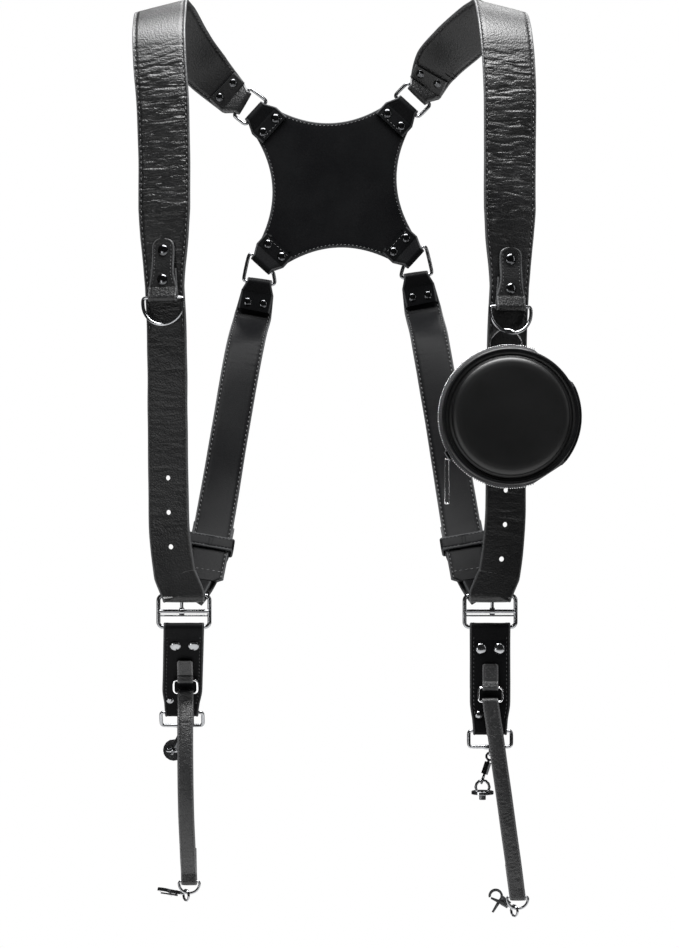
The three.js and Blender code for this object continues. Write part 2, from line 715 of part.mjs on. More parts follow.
// Place of the chest stretch of a strap at a drop below the crest
function frontPlace(side, row) {
  const middle = side.sign * mix(BUCKLE_OUT, SHOULDER_OUT, row.out);
  const shift = CREST_SHIFT * Math.max(0, 1 - row.drop / SHIFT_FADE);
  const height = STRAP_THICKNESS / 2 - BUCKLE_DROP * row.drop;
  return {
    p: vec(middle + shift, CREST_DEPTH * row.depth, height),
    w: widthDirection(side, TAB_TURN * row.turn, CREST_ROLL * row.roll),
    width: mix(LOWER_WIDTH, STRAP_WIDTH, row.width),
  };
}

function frontStations(side) {
  return smooth(FRONT_RUN.map((row) => frontPlace(side, row)), 2);
}

function frontAt(side, drop) {
  const stations = frontStations(side).filter((s) => s.p.y < CREST_DEPTH * 0.5);
  const after = stations.findIndex((s) => s.p.z < -drop);
  const from = stations[after - 1];
  const to = stations[after];
  const share = (-drop - from.p.z) / (to.p.z - from.p.z);
  const w = from.w.clone().lerp(to.w, share).normalize();
  const tangent = to.p.clone().sub(from.p).normalize();
  const normal = tangent.clone().cross(w).normalize();
  if (normal.y > 0) normal.negate();
  return { p: from.p.clone().lerp(to.p, share), w, tangent, normal };
}

function rearStations(side, strapBar) {
  const away = along(
    vec(0, 0, 0),
    [outward(side), Math.cos(rad(side.rearRise))],
    [up, Math.sin(rad(side.rearRise))],
  );
  const widths = { tip: REAR_WIDTH, seat: REAR_WIDTH, bar: REAR_LOOP_WIDTH };
  const loop = foldedEnd(strapBar, away, front, BACK_WIRE, STRAP_THICKNESS, widths, FLAP_LENGTH);
  const last = loop[loop.length - 1];
  const crest = frontPlace(side, FRONT_RUN[0]);
  const barRoll = 90 - side.rearRise;
  const rows = REAR_RUN.map((row) => ({
    p: vec(
      mix(last.p.x, crest.p.x, row.out) + side.sign * side.rearBulge * row.bulge,
      mix(last.p.y, crest.p.y, row.depth),
      mix(last.p.z, crest.p.z, row.drop),
    ),
    w: widthDirection(side, 0, mix(barRoll, CREST_ROLL, row.roll)),
    width: mix(REAR_WIDTH, STRAP_WIDTH, row.width),
  }));
  return { loop: loop.slice(0, -1), run: smooth([last, ...rows, crest], 3) };
}

function tailStations(side, lowerStrapBar) {
  const bar = buckleBar(side, 0);
  const fold = wrap(bar, up, front, FOLD_RADIUS, LOWER_WIDTH, 8);
  const { above, keeper, end, keeperFrame, endFrame } = sideFrames(side, lowerStrapBar);
  const slide = (bar.centre.x - end.p.x) * TAIL_SLIDE;
  const { normal, tangent } = keeperFrame;
  const past = (distance) => along(keeper.p, [normal, tailOffset], [tangent, distance]);
  const rows = [
    { p: along(end.p, [endFrame.normal, tailOffset + TAIL_LIFT], [widthAxis, slide]), w: end.w },
    { p: past(KEEPER_WIDTH * 0.6), w: keeper.w },
    { p: past(-KEEPER_WIDTH * 0.6), w: keeper.w },
    { p: past(-TAIL_OVERRUN), w: above.w },
  ].map((row) => ({ ...row, width: LOWER_WIDTH }));
  const last = fold[fold.length - 1];
  const rise = smooth([last, ...rows.slice(0, 2)], 3).slice(1);
  return [...fold, ...rise, ...rows.slice(2)];
}

function shoulderStrapGeometry(side, upperBar, lowerStrapBar, holes) {
  const rear = rearStations(side, upperBar);
  const stations = [
    ...rear.loop,
    ...rear.run.slice(0, -1),
    ...frontStations(side),
    ...tailStations(side, lowerStrapBar),
  ];
  return cut(ribbon(stations, STRAP_THICKNESS), ...holes);
}

// Size holes above the buckle and the hole that the prong stands in
function strapHoles(side) {
  const holes = [];
  for (let i = 0; i < HOLE_COUNT; i++) {
    const { p, normal } = frontAt(side, BUCKLE_DROP - side.holeStart - i * HOLE_PITCH);
    const reach = 2 * STRAP_THICKNESS;
    holes.push(rod(along(p, [normal, reach]), along(p, [normal, -reach]), HOLE_RADIUS, 8));
  }
  const bar = buckleBar(side, 0);
  const foot = along(bar.centre, [outward(side), PRONG_OFFSET]);
  holes.push(rod(foot, along(foot, [down, FOLD_RADIUS + STRAP_THICKNESS]), PRONG_WIRE + FIT, 8));
  return holes;
}

// Front tab with its D-ring
function tabFrame(side) {
  const drop = TAB_DROP + side.tabShift;
  const at = (length, lift) => {
    const place = frontAt(side, drop + length);
    return along(place.p, [place.normal, lift]);
  };
  return { top: frontAt(side, drop), at };
}

const leafLift = STRAP_THICKNESS / 2 + FIT + TAB_THICKNESS / 2;
const tabLoopRadius = D_WIRE + FIT + TAB_THICKNESS / 2;

function frontTabGeometry(side, holes) {
  const { top, at } = tabFrame(side);
  const station = (length, lift, width) => ({ p: at(length, lift), w: top.w, width });
  const overLeaf = leafLift + TAB_THICKNESS + FIT;
  const loopStart = TAB_LENGTH - 3.2 * tabLoopRadius;
  const leafTop = TAB_LENGTH - TAB_LEAF;
  const narrow = TAB_TOP_WIDTH;
  const wide = TAB_FOOT_WIDTH;
  const bar = { centre: at(TAB_LENGTH, leafLift + tabLoopRadius), along: top.w };
  const upAlong = top.tangent.clone().negate();
  const stations = [
    station(0, leafLift, narrow * 0.3),
    station(narrow * 0.05, leafLift, narrow * 0.62),
    station(narrow * 0.16, leafLift, narrow * 0.87),
    station(narrow * 0.34, leafLift, narrow),
    station(leafTop - 6, leafLift, mix(narrow, wide, 0.25)),
    station(leafTop - 1, overLeaf, mix(narrow, wide, 0.45)),
    station(loopStart, overLeaf, mix(narrow, wide, 0.85)),
    ...wrap(bar, upAlong, top.normal, tabLoopRadius, wide),
    station(loopStart, leafLift, wide * 0.96),
    station(leafTop + 1, leafLift, wide * 0.9),
  ];
  return cut(ribbon(stations, TAB_THICKNESS), ...holes);
}

// The upper rivet holds one layer of the tab, the lower one holds the folded leaf too.
function tabRivets(side) {
  const { top, at } = tabFrame(side);
  return [
    { share: 0.2, lift: leafLift + TAB_THICKNESS / 2 },
    { share: 0.7, lift: leafLift + TAB_THICKNESS * 1.5 + FIT },
  ].map(({ share, lift }) => ({
    seat: at(TAB_LENGTH * share, lift),
    face: top.normal,
    grip: lift + STRAP_THICKNESS / 2,
  }));
}

// Bar of the front D-ring and the way that the ring falls from it
function dRingFrame(side) {
  const { top, at } = tabFrame(side);
  const tilt = rad(side.ringTilt);
  const fall = along(vec(0, 0, 0), [down, Math.cos(tilt)], [top.normal, Math.sin(tilt)]);
  const across = top.w.clone().multiplyScalar(-side.sign);
  return { centre: at(TAB_LENGTH, leafLift + tabLoopRadius), fall, across };
}

// Height of a D-ring's round bow
const bowReach = (width, depth, corner) => Math.min(width / 2, depth - 1.3 * corner);

// D-ring: straight bar, small corners and a round bow under them
function dRingOutline(width, depth, corner) {
  const half = width / 2;
  const reach = bowReach(width, depth, corner);
  const outline = [];
  const arc = (x, y, radii, from, to, steps) => {
    for (let k = 0; k <= steps; k++) {
      const angle = rad(mix(from, to, k / steps));
      outline.push(new THREE.Vector2(x + radii[0] * Math.cos(angle), y + radii[1] * Math.sin(angle)));
    }
  };
  arc(half - corner, -corner, [corner, corner], 90, 0, 2);
  arc(0, reach - depth, [half, reach], 0, -180, 14);
  arc(corner - half, -corner, [corner, corner], 180, 90, 2);
  return outline;
}

// Place on a D-ring's bow: angle in degrees from its foot, against the across direction
function bowPlace(bar, fall, across, [width, depth, corner], angle) {
  const reach = bowReach(width, depth, corner);
  const drop = depth - reach + reach * Math.cos(rad(angle));
  return along(bar, [fall, drop], [across, (-width / 2) * Math.sin(rad(angle))]);
}

function rectangleOutline(width, height, corner) {
  const half = width / 2;
  const corners = [
    [-half, 0],
    [half, 0],
    [half, -height],
    [-half, -height],
  ].map(([x, y]) => new THREE.Vector2(x, y));
  return roundedOutline(corners, [corner, corner, corner, corner], 3);
}

// Hip buckle: frame, centre bar and a thin roller bar under it, with the prong on the centre bar
function buckleGeometry(side) {
  const top = buckleBar(side, 0);
  const across = outward(side);
  const outline = rectangleOutline(BUCKLE_WIDTH, BUCKLE_HEIGHT, BUCKLE_CORNER);
  const frame = wireLoop(outline, top.centre, vec(1, 0, 0), up, BUCKLE_WIRE);
  const crossBar = (drop, wire) => {
    const middle = buckleBar(side, drop).centre;
    const half = BUCKLE_WIDTH / 2;
    return rod(along(middle, [across, -half]), along(middle, [across, half]), wire);
  };
  const centreDrop = BUCKLE_HEIGHT / 2;
  return joined(frame, crossBar(centreDrop, BUCKLE_WIRE), crossBar(centreDrop + ROLLER_DROP, ROLLER_WIRE));
}

function prongGeometry(side) {
  const centre = along(buckleBar(side, BUCKLE_HEIGHT / 2).centre, [outward(side), PRONG_OFFSET]);
  const inner = BUCKLE_WIRE + FIT;
  const outer = inner + 1.1;
  const half = PRONG_HUB / 2;
  const profile = [
    [inner, -half],
    [outer, -half],
    [outer, half],
    [inner, half],
    [inner, -half],
  ].map(([x, y]) => new THREE.Vector2(x, y));
  const hub = placeAlong(new THREE.LatheGeometry(profile, 12), centre, vec(1, 0, 0));
  const tip = BUCKLE_HEIGHT / 2 - BUCKLE_WIRE - FIT;
  const pin = rod(along(centre, [up, (inner + outer) / 2]), along(centre, [up, tip]), PRONG_WIRE);
  return joined(hub, pin);
}

// Drop: tab, square ring, anchor strip and ring, in a frame that hangs from the buckle's bottom bar
function dropGroup(side) {
  const hanging = new THREE.Group();
  hanging.position.copy(buckleBar(side, BUCKLE_HEIGHT).centre);
  hanging.rotation.x = rad(side.dropLean);
  group.add(hanging);
  hanging.updateMatrixWorld(true);
  return hanging;
}

const layerLift = DROP_THICKNESS / 2 + FIT / 2;

const dropFoot = (side) => vec(side.sign * side.dropSkew, 0, -DROP_LENGTH);

function dropTabGeometry(side, holes) {
  const topBar = { centre: vec(0, 0, 0), along: widthAxis };
  const footBar = { centre: dropFoot(side), along: widthAxis };
  const topRadius = BUCKLE_WIRE + FIT + DROP_THICKNESS / 2;
  const footRadius = SQUARE_WIRE + FIT + DROP_THICKNESS / 2;
  const seam = DROP_LENGTH * 0.6;
  const sideways = (z) => (-z / DROP_LENGTH) * footBar.centre.x;
  const station = (y, z, width) => ({ p: vec(sideways(z), y, z), w: widthAxis, width });
  const widthAt = (share) => mix(DROP_TOP_WIDTH, DROP_FOOT_WIDTH, Math.max(0, share * 4 - 3));
  const layer = (y, shares) => shares.map((share) => station(y, -DROP_LENGTH * share, widthAt(share)));
  const stations = [
    station(layerLift, -seam + FIT, DROP_TOP_WIDTH),
    ...layer(layerLift, [0.4, 0.12]),
    ...wrap(topBar, down, back, topRadius, DROP_TOP_WIDTH),
    ...layer(-layerLift, [0.12, 0.4, 0.75, 0.88]),
    ...wrap(footBar, up, front, footRadius, DROP_FOOT_WIDTH),
    ...layer(layerLift, [0.88, 0.75]),
    station(layerLift, -seam - FIT, DROP_TOP_WIDTH),
  ];
  return cut(ribbon(stations, DROP_THICKNESS), ...holes);
}

function dropRivets() {
  const drop = DROP_LENGTH * 0.205;
  const seat = layerLift + DROP_THICKNESS / 2;
  return [-1, 1].map((hand) => ({
    seat: vec((hand * DROP_TOP_WIDTH) / 4.4, -seat, -drop),
    face: front,
    grip: 2 * seat,
  }));
}

function squareRingGeometry(side) {
  const outline = rectangleOutline(SQUARE_WIDTH, SQUARE_HEIGHT, SQUARE_CORNER);
  const frame = wireLoop(outline, dropFoot(side), widthAxis, up, SQUARE_WIRE);
  const foot = along(dropFoot(side), [down, SQUARE_HEIGHT]);
  const boss = rod(along(foot, [widthAxis, -5.5]), along(foot, [widthAxis, 5.5]), SQUARE_WIRE * 1.35, 6);
  const eye = wireLoop(circleOutline(EYE_RADIUS, 10), ringEyeCentre(side), back, up, EYE_WIRE);
  return joined(frame, boss, eye);
}

function ringEyeCentre(side) {
  return along(dropFoot(side), [down, SQUARE_HEIGHT + EYE_RADIUS + SQUARE_WIRE * 0.6]);
}

// Link between the square ring's eye and the screw: two crossed eyes on a barrel
function linkFrame(side) {
  const axis = vec(-side.sign * Math.sin(rad(side.linkLean)), 0, -Math.cos(rad(side.linkLean)));
  const across = vec(Math.cos(rad(side.linkLean)), 0, -side.sign * Math.sin(rad(side.linkLean)));
  const reach = 2 * EYE_RADIUS - 2 * EYE_WIRE - FIT;
  const top = along(ringEyeCentre(side), [down, reach * 0.98]);
  const foot = along(top, [axis, LINK_LENGTH]);
  return { axis, across, top, foot };
}

function linkGeometry(side) {
  const { axis, across, top, foot } = linkFrame(side);
  const upperEye = wireLoop(circleOutline(EYE_RADIUS, 10), top, across, axis, EYE_WIRE);
  const lowerEye = wireLoop(circleOutline(EYE_RADIUS, 10), foot, back, axis, EYE_WIRE);
  const middle = along(top, [axis, LINK_LENGTH / 2]);
  const barrel = rod(
    along(middle, [axis, -BARREL_LENGTH / 2]),
    along(middle, [axis, BARREL_LENGTH / 2]),
    BARREL_RADIUS,
    8,
  );
  const stem = rod(along(top, [axis, EYE_RADIUS]), along(foot, [axis, -EYE_RADIUS]), EYE_WIRE, 6);
  return joined(upperEye, lowerEye, barrel, stem);
}

// Screw: disc with a bow above and a plain stud below, hung on the link's lower eye
function screwGeometry(side) {
  const { foot } = linkFrame(side);
  const tilt = rad(side.screwTilt);
  const rise = vec(0, -Math.sin(tilt), Math.cos(tilt));
  const bowCentre = along(foot, [down, EYE_RADIUS - EYE_WIRE - SCREW_WIRE - 1.5 * FIT], [rise, -SCREW_BOW]);
  const bow = wireLoop(circleOutline(SCREW_BOW, 12), bowCentre, widthAxis, rise, SCREW_WIRE);
  const seat = along(bowCentre, [rise, -SCREW_BOW * 0.55]);
  const under = along(seat, [rise, -SCREW_DISC_THICKNESS]);
  const disc = rod(seat, under, SCREW_DISC, 16);
  const stud = rod(along(under, [rise, 1]), along(under, [rise, -STUD_LENGTH]), STUD_RADIUS, 10);
  const below = along(under, [rise, -SCREW_BOW]);
  const trim = rod(under, below, SCREW_BOW + 2 * EYE_WIRE, 12);
  return joined(cut(joined(bow, disc), trim), stud);
}

// Anchor strip sewn on the drop tab, holding a small ring
const anchorLift = layerLift + DROP_THICKNESS / 2 + FIT + ANCHOR_THICKNESS / 2;
const anchorRadius = TETHER_RING_WIRE + FIT + ANCHOR_THICKNESS / 2;
const anchorBar = {
  centre: vec(0, -anchorLift - anchorRadius, -ANCHOR_DROP - ANCHOR_LENGTH),
  along: widthAxis,
};

function anchorGeometry() {
  const station = (lift, drop) => ({
    p: vec(0, -anchorLift - lift, -drop),
    w: widthAxis,
    width: ANCHOR_WIDTH,
  });
  const step = ANCHOR_THICKNESS + FIT;
  const stations = [
    station(step, ANCHOR_DROP),
    station(step, ANCHOR_DROP + ANCHOR_LENGTH - 2.4 * anchorRadius),
    ...wrap(anchorBar, up, front, anchorRadius, ANCHOR_WIDTH),
    station(0, ANCHOR_DROP + ANCHOR_LENGTH / 2),
    station(0, ANCHOR_DROP + 2),
  ];
  return ribbon(stations, ANCHOR_THICKNESS);
}

const tetherRingFall = vec(0, -Math.sin(rad(TETHER_RING_TILT)), -Math.cos(rad(TETHER_RING_TILT)));

function tetherRingGeometry() {
  const width = TETHER_WIDTH + 2 * FIT + 2 * TETHER_RING_CORNER;
  const outline = rectangleOutline(width, TETHER_RING_HEIGHT, TETHER_RING_CORNER);
  return wireLoop(outline, anchorBar.centre, widthAxis, tetherRingFall.clone().negate(), TETHER_RING_WIRE);
}

// Tether strap from the small ring's foot to its own D-ring
function tetherEnds(side, hanging) {
  const ringFoot = along(anchorBar.centre, [tetherRingFall, TETHER_RING_HEIGHT]);
  const head = ringFoot.applyMatrix4(hanging.matrixWorld);
  const foot = along(head, [outward(side), side.tetherOut], [down, TETHER_LENGTH * side.tetherShare]);
  return { head, foot };
}

function tetherGeometry(side, hanging) {
  const { head, foot } = tetherEnds(side, hanging);
  const topRadius = TETHER_RING_WIRE + FIT + TETHER_THICKNESS / 2;
  const footRadius = TETHER_D_WIRE + FIT + TETHER_THICKNESS / 2;
  const topBar = { centre: head, along: widthAxis };
  const footBar = { centre: foot, along: widthAxis };
  const slope = foot.clone().sub(head).normalize();
  const rise = slope.clone().negate();
  const widths = { tip: TETHER_WIDTH, seat: TETHER_WIDTH, bar: TETHER_WIDTH };
  const start = foldedEnd(topBar, slope, back, TETHER_RING_WIRE, TETHER_THICKNESS, widths, TETHER_FLAP);
  const end = foldedEnd(footBar, rise, back, TETHER_D_WIRE, TETHER_THICKNESS, widths, TETHER_FLAP);
  const run = [0.15, 0.5, 0.85].map((share) => {
    const bulge = mix(topRadius, footRadius, share) + side.tetherBow * Math.sin(Math.PI * share);
    return { p: along(head.clone().lerp(foot, share), [front, bulge]), w: widthAxis, width: TETHER_WIDTH };
  });
  const body = smooth([start[start.length - 1], ...run, end[end.length - 1]], 4);
  return ribbon([...start.slice(0, -1), ...body, ...end.slice(0, -1).reverse()], TETHER_THICKNESS);
}

const TETHER_D_WIDTH = TETHER_WIDTH + 2 * FIT + 2 * TETHER_D_CORNER;
const TETHER_D = [TETHER_D_WIDTH, TETHER_D_DEPTH, TETHER_D_CORNER];

function tetherDRing(side, hanging) {
  const { foot } = tetherEnds(side, hanging);
  return wireLoop(dRingOutline(...TETHER_D), foot, widthAxis, up, TETHER_D_WIRE);
}

// Claw: eye hung in the tether's D-ring, body with an open hook, and the lever that closes it
function clawFrame(side, hanging) {
  const { foot } = tetherEnds(side, hanging);
  const rise = rad(side.clawRise);
  const axis = vec(-Math.cos(rise), 0, Math.sin(rise));
  const across = vec(Math.sin(rise), 0, Math.cos(rise)).applyAxisAngle(axis, rad(side.clawRoll));
  const normal = axis.clone().cross(across);
  const wirePoint = bowPlace(foot, down, widthAxis, TETHER_D, CLAW_PLACE);
  const eyeCentre = along(wirePoint, [down, CLAW_EYE - EYE_WIRE - TETHER_D_WIRE - FIT]);
  const turn = rad(CLAW_EYE_TURN);
  const eyeAcross = vec(Math.cos(turn), -Math.sin(turn), 0);
  const root = along(eyeCentre, [eyeAcross, -CLAW_EYE * Math.cos(rise)], [up, CLAW_EYE * Math.sin(rise)]);
  return { axis, across, normal, eyeCentre, eyeAcross, root };
}

function clawGeometry(side, hanging) {
  const { axis, across, normal, eyeCentre, eyeAcross, root } = clawFrame(side, hanging);
  const eye = wireLoop(circleOutline(CLAW_EYE, 10), eyeCentre, eyeAcross, up, EYE_WIRE);
  const neck = rod(root, along(root, [axis, 5]), 1.6, 8);
  const hook = new THREE.Shape();
  const start = 3;
  const half = CLAW_HOOK / 2;
  const centre = CLAW_LENGTH - CLAW_HOOK;
  hook.moveTo(start, -half);
  hook.lineTo(centre - CLAW_HOOK * 0.9, -CLAW_HOOK * 0.6);
  hook.absarc(centre, 0, CLAW_HOOK, rad(215), rad(45), false);
  hook.lineTo(centre + CLAW_BORE * Math.cos(rad(45)), CLAW_BORE * Math.sin(rad(45)));
  hook.absarc(centre, 0, CLAW_BORE, rad(45), rad(150), true);
  hook.lineTo(start + CLAW_HOOK, half * 1.2);
  hook.lineTo(start, half);
  const flat = new THREE.ExtrudeGeometry(hook, {
    depth: CLAW_THICKNESS,
    bevelEnabled: false,
    curveSegments: 6,
  });
  flat.translate(0, 0, -CLAW_THICKNESS / 2);
  flat.applyMatrix4(new THREE.Matrix4().makeBasis(axis, across, normal));
  flat.translate(root.x, root.y, root.z);
  return cut(joined(flat, neck, eye), leverPin(side, hanging, CLAW_PIN + FIT));
}

function leverPivot(side, hanging) {
  const { axis, across, root } = clawFrame(side, hanging);
  return along(root, [axis, CLAW_HOOK], [across, 0.3 * CLAW_BORE]);
}

function leverPin(side, hanging, radius) {
  const { normal } = clawFrame(side, hanging);
  const pivot = leverPivot(side, hanging);
  const reach = CLAW_THICKNESS / 2 + 2 * FIT;
  return rod(along(pivot, [normal, reach + 1]), along(pivot, [normal, -reach]), radius, 8);
}

// Lever: gate that reaches the hook's tip, with a long thumb piece
function leverGeometry(side, hanging) {
  const { axis, across, normal } = clawFrame(side, hanging);
  const pivot = leverPivot(side, hanging);
  const gate = CLAW_LENGTH - 2 * CLAW_HOOK + CLAW_BORE * 0.7;
  const thumb = 1.9 * CLAW_HOOK;
  const lever = new THREE.Shape();
  lever.moveTo(-1.6, -1.4);
  lever.lineTo(3, -1.4);
  lever.lineTo(gate, 1.6);
  lever.lineTo(gate - 0.5, 3.2);
  lever.lineTo(7.2, 2.6);
  lever.lineTo(6.1, thumb);
  lever.lineTo(4.3, thumb - 0.4);
  lever.lineTo(4.4, 2.2);
  lever.lineTo(-1.6, 1.2);
  const flat = new THREE.ExtrudeGeometry(lever, { depth: 1.4, bevelEnabled: false });
  flat.applyMatrix4(new THREE.Matrix4().makeBasis(axis, across, normal));
  const seat = along(pivot, [normal, CLAW_THICKNESS / 2 + FIT]);
  flat.translate(seat.x, seat.y, seat.z);
  return joined(flat, leverPin(side, hanging, CLAW_PIN));
}

// Pouch on its split ring, hung in the right D-ring
function pouchParts(side) {
  const { centre: bar, fall, across } = dRingFrame(side);
  const foot = bowPlace(bar, fall, across, [D_WIDTH, D_DEPTH, D_CORNER], POUCH_RING_PLACE);
  const place = rad(POUCH_RING_PLACE);
  const reach = POUCH_RING_RADIUS - POUCH_RING_WIRE - D_WIRE - FIT;
  const ringAcross = vec(Math.cos(rad(POUCH_RING_TURN)), Math.sin(rad(POUCH_RING_TURN)), 0);
  const ringCentre = along(foot, [down, reach * Math.cos(place)], [ringAcross, -reach * Math.sin(place)]);
  const ringFoot = along(ringCentre, [down, POUCH_RING_RADIUS]);
  const hangerRadius = POUCH_RING_WIRE + 3 * FIT + HANGER_THICKNESS / 2;
  const ringReach = POUCH_RING_RADIUS * Math.abs(ringAcross.y) + POUCH_RING_WIRE;
  const hangerReach = hangerRadius + HANGER_THICKNESS / 2 + (HANGER_WIDTH / 2) * Math.abs(ringAcross.y);
  const backFace = ringFoot.y - Math.max(ringReach, hangerReach) - FIT;
  const centre = vec(ringFoot.x + 2, backFace - POUCH_BACK_DEPTH, ringFoot.z - POUCH_RADIUS * 0.79);
  return { foot, ringCentre, ringAcross, ringFoot, hangerRadius, backFace, centre };
}

function hangerGeometry(parts) {
  const bar = { centre: parts.ringFoot, along: parts.ringAcross };
  const station = (lift, drop) => ({
    p: along(parts.ringFoot, [front, lift], [down, drop]),
    w: widthAxis,
    width: HANGER_WIDTH,
  });
  const land = parts.ringFoot.y - parts.backFace - FIT - HANGER_THICKNESS / 2;
  const stations = [
    station(land, HANGER_LENGTH),
    station(land, HANGER_LENGTH * 0.55),
    ...wrap(bar, down, front, parts.hangerRadius, HANGER_WIDTH),
    station(land - HANGER_THICKNESS - FIT, HANGER_LENGTH * 0.62),
    station(land - HANGER_THICKNESS - FIT, HANGER_LENGTH),
  ];
  return ribbon(stations, HANGER_THICKNESS);
}

function pouchShell(profile, centre, facing) {
  const points = profile.map(([r, h]) => new THREE.Vector2(r, h));
  return placeAlong(new THREE.LatheGeometry(points, 24), centre, facing);
}

// Radius and height profiles of the pouch's shells, from the shares of its named sizes
function pouchFrontProfile() {
  const rim = POUCH_RADIUS - 1;
  const low = ZIP_HALF_WIDTH + FIT;
  return [
    [0, POUCH_FRONT_DEPTH - POUCH_WALL],
    [rim * 0.82, POUCH_FRONT_DEPTH - POUCH_WALL - 1],
    [rim - POUCH_WALL, POUCH_FRONT_DEPTH * 0.62],
    [rim - POUCH_WALL, low],
    [rim, low],
    [rim, POUCH_FRONT_DEPTH * 0.7],
    [rim * 0.985, POUCH_FRONT_DEPTH * 0.83],
    [rim * 0.955, POUCH_FRONT_DEPTH * 0.83],
    [rim * 0.925, POUCH_FRONT_DEPTH * 0.76],
    [rim * 0.87, POUCH_FRONT_DEPTH * 0.8],
    [rim * 0.84, POUCH_FRONT_DEPTH * 0.93],
    [rim * 0.79, POUCH_FRONT_DEPTH * 0.99],
    [0, POUCH_FRONT_DEPTH],
  ];
}

function pouchBackProfile() {
  const rim = POUCH_RADIUS - 1;
  const low = ZIP_HALF_WIDTH + FIT;
  return [
    [0, POUCH_BACK_DEPTH - POUCH_WALL],
    [rim * 0.88, POUCH_BACK_DEPTH - POUCH_WALL],
    [rim - POUCH_WALL, POUCH_BACK_DEPTH * 0.7],
    [rim - POUCH_WALL, low],
    [rim, low],
    [rim, POUCH_BACK_DEPTH * 0.78],
    [rim * 0.95, POUCH_BACK_DEPTH],
    [0, POUCH_BACK_DEPTH],
  ];
}

function zipProfile() {
  const rim = POUCH_RADIUS;
  return [
    [rim - POUCH_WALL - 1, -ZIP_HALF_WIDTH],
    [rim, -ZIP_HALF_WIDTH],
    [rim + 0.6, 0],
    [rim, ZIP_HALF_WIDTH],
    [rim - POUCH_WALL - 1, ZIP_HALF_WIDTH],
    [rim - POUCH_WALL - 1, -ZIP_HALF_WIDTH],
  ];
}

function sliderGeometry(parts) {
  const angle = rad(212);
  const outside = vec(Math.cos(angle), 0, Math.sin(angle));
  const seat = along(parts.centre, [outside, POUCH_RADIUS + 0.6 + FIT + 1.3]);
  const body = new THREE.BoxGeometry(2.6, 7, 10).applyQuaternion(
    new THREE.Quaternion().setFromUnitVectors(widthAxis, outside),
  );
  body.translate(seat.x, seat.y, seat.z);
  const pull = new THREE.BoxGeometry(5, 1.6, 44);
  pull.translate(seat.x - 0.5, seat.y, seat.z - 24);
  return joined(body, pull);
}

function addPouch(side) {
  const parts = pouchParts(side);
  const outline = circleOutline(POUCH_RING_RADIUS, 16);
  const ring = wireLoop(outline, parts.ringCentre, parts.ringAcross, up, POUCH_RING_WIRE);
  addMesh("pouch_ring", ring, materials.wire);
  addMesh("pouch_hanger", hangerGeometry(parts), materials.leather);
  addMesh("pouch_front", pouchShell(pouchFrontProfile(), parts.centre, front), materials.pouch);
  addMesh("pouch_back", pouchShell(pouchBackProfile(), parts.centre, back), materials.pouch);
  addMesh("pouch_zip", pouchShell(zipProfile(), parts.centre, front), materials.zip);
  addMesh("zip_slider", sliderGeometry(parts), materials.wire);
}

// Assembly
const plateCorners = [];
for (const side of SIDES) {
  const upper = plateCorner(side, 1);
  const lower = plateCorner(side, -1);
  plateCorners.push(upper, lower);

  const upperBar = upperStrapBar(upper);
  addMesh(`upper_ring_${side.name}`, backRing(upper.bar, upperBar), materials.wire);
  const strapBar = lowerStrapBar(lower);
  addMesh(`lower_ring_${side.name}`, backRing(lower.bar, strapBar), materials.wire);

  const rivets = tabRivets(side);
  const tabHoles = rivets.map(({ seat, face, grip }) => rivetHole(seat, face, 2 * grip));
  const strap = shoulderStrapGeometry(side, upperBar, strapBar, [...strapHoles(side), ...tabHoles]);
  addMesh(`shoulder_strap_${side.name}`, strap, materials.leather);
  addMesh(`front_tab_${side.name}`, frontTabGeometry(side, tabHoles), materials.leather);
  rivets.forEach(({ seat, face, grip }, i) => {
    addMesh(`tab_rivet_${side.name}_${i + 1}`, rivet(seat, face, grip), materials.rivet);
  });
  const { centre, fall, across } = dRingFrame(side);
  const dOutline = dRingOutline(D_WIDTH, D_DEPTH, D_CORNER);
  const dRing = wireLoop(dOutline, centre, across, fall.clone().negate(), D_WIRE);
  addMesh(`front_d_ring_${side.name}`, dRing, materials.wire);

  addMesh(`side_strap_${side.name}`, sideStrapGeometry(side, strapBar), materials.smooth);
  addMesh(`strap_keeper_${side.name}`, keeperGeometry(side, strapBar), materials.leather);
  addMesh(`hip_buckle_${side.name}`, buckleGeometry(side), materials.wire);
  addMesh(`buckle_prong_${side.name}`, prongGeometry(side), materials.wire);

  const hanging = dropGroup(side);
  const studs = dropRivets();
  const dropHoles = studs.map(({ seat, face, grip }) => rivetHole(seat, face, 2 * grip));
  addMesh(`drop_tab_${side.name}`, dropTabGeometry(side, dropHoles), materials.leather, hanging);
  studs.forEach(({ seat, face, grip }, i) => {
    addMesh(`drop_rivet_${side.name}_${i + 1}`, rivet(seat, face, grip), materials.rivet, hanging);
  });
  addMesh(`square_ring_${side.name}`, squareRingGeometry(side), materials.wire, hanging);
  addMesh(`screw_link_${side.name}`, linkGeometry(side), materials.wire, hanging);
  addMesh(`camera_screw_${side.name}`, screwGeometry(side), materials.wire, hanging);
  addMesh(`tether_anchor_${side.name}`, anchorGeometry(), materials.leather, hanging);
  addMesh(`tether_ring_${side.name}`, tetherRingGeometry(), materials.wire, hanging);
  addMesh(`tether_strap_${side.name}`, tetherGeometry(side, hanging), materials.leather);
  addMesh(`tether_d_ring_${side.name}`, tetherDRing(side, hanging), materials.wire);
  addMesh(`tether_claw_${side.name}`, clawGeometry(side, hanging), materials.wire);
  addMesh(`claw_lever_${side.name}`, leverGeometry(side, hanging), materials.wire);
}
addMesh("back_plate", plateGeometry(plateCorners), materials.smooth);
addPouch(SIDES[1]);

// The lengths above start at the chest plane; the origin moves to the middle between the crests.
group.position.set(-CREST_SHIFT, -CREST_DEPTH, 0);

export default group;
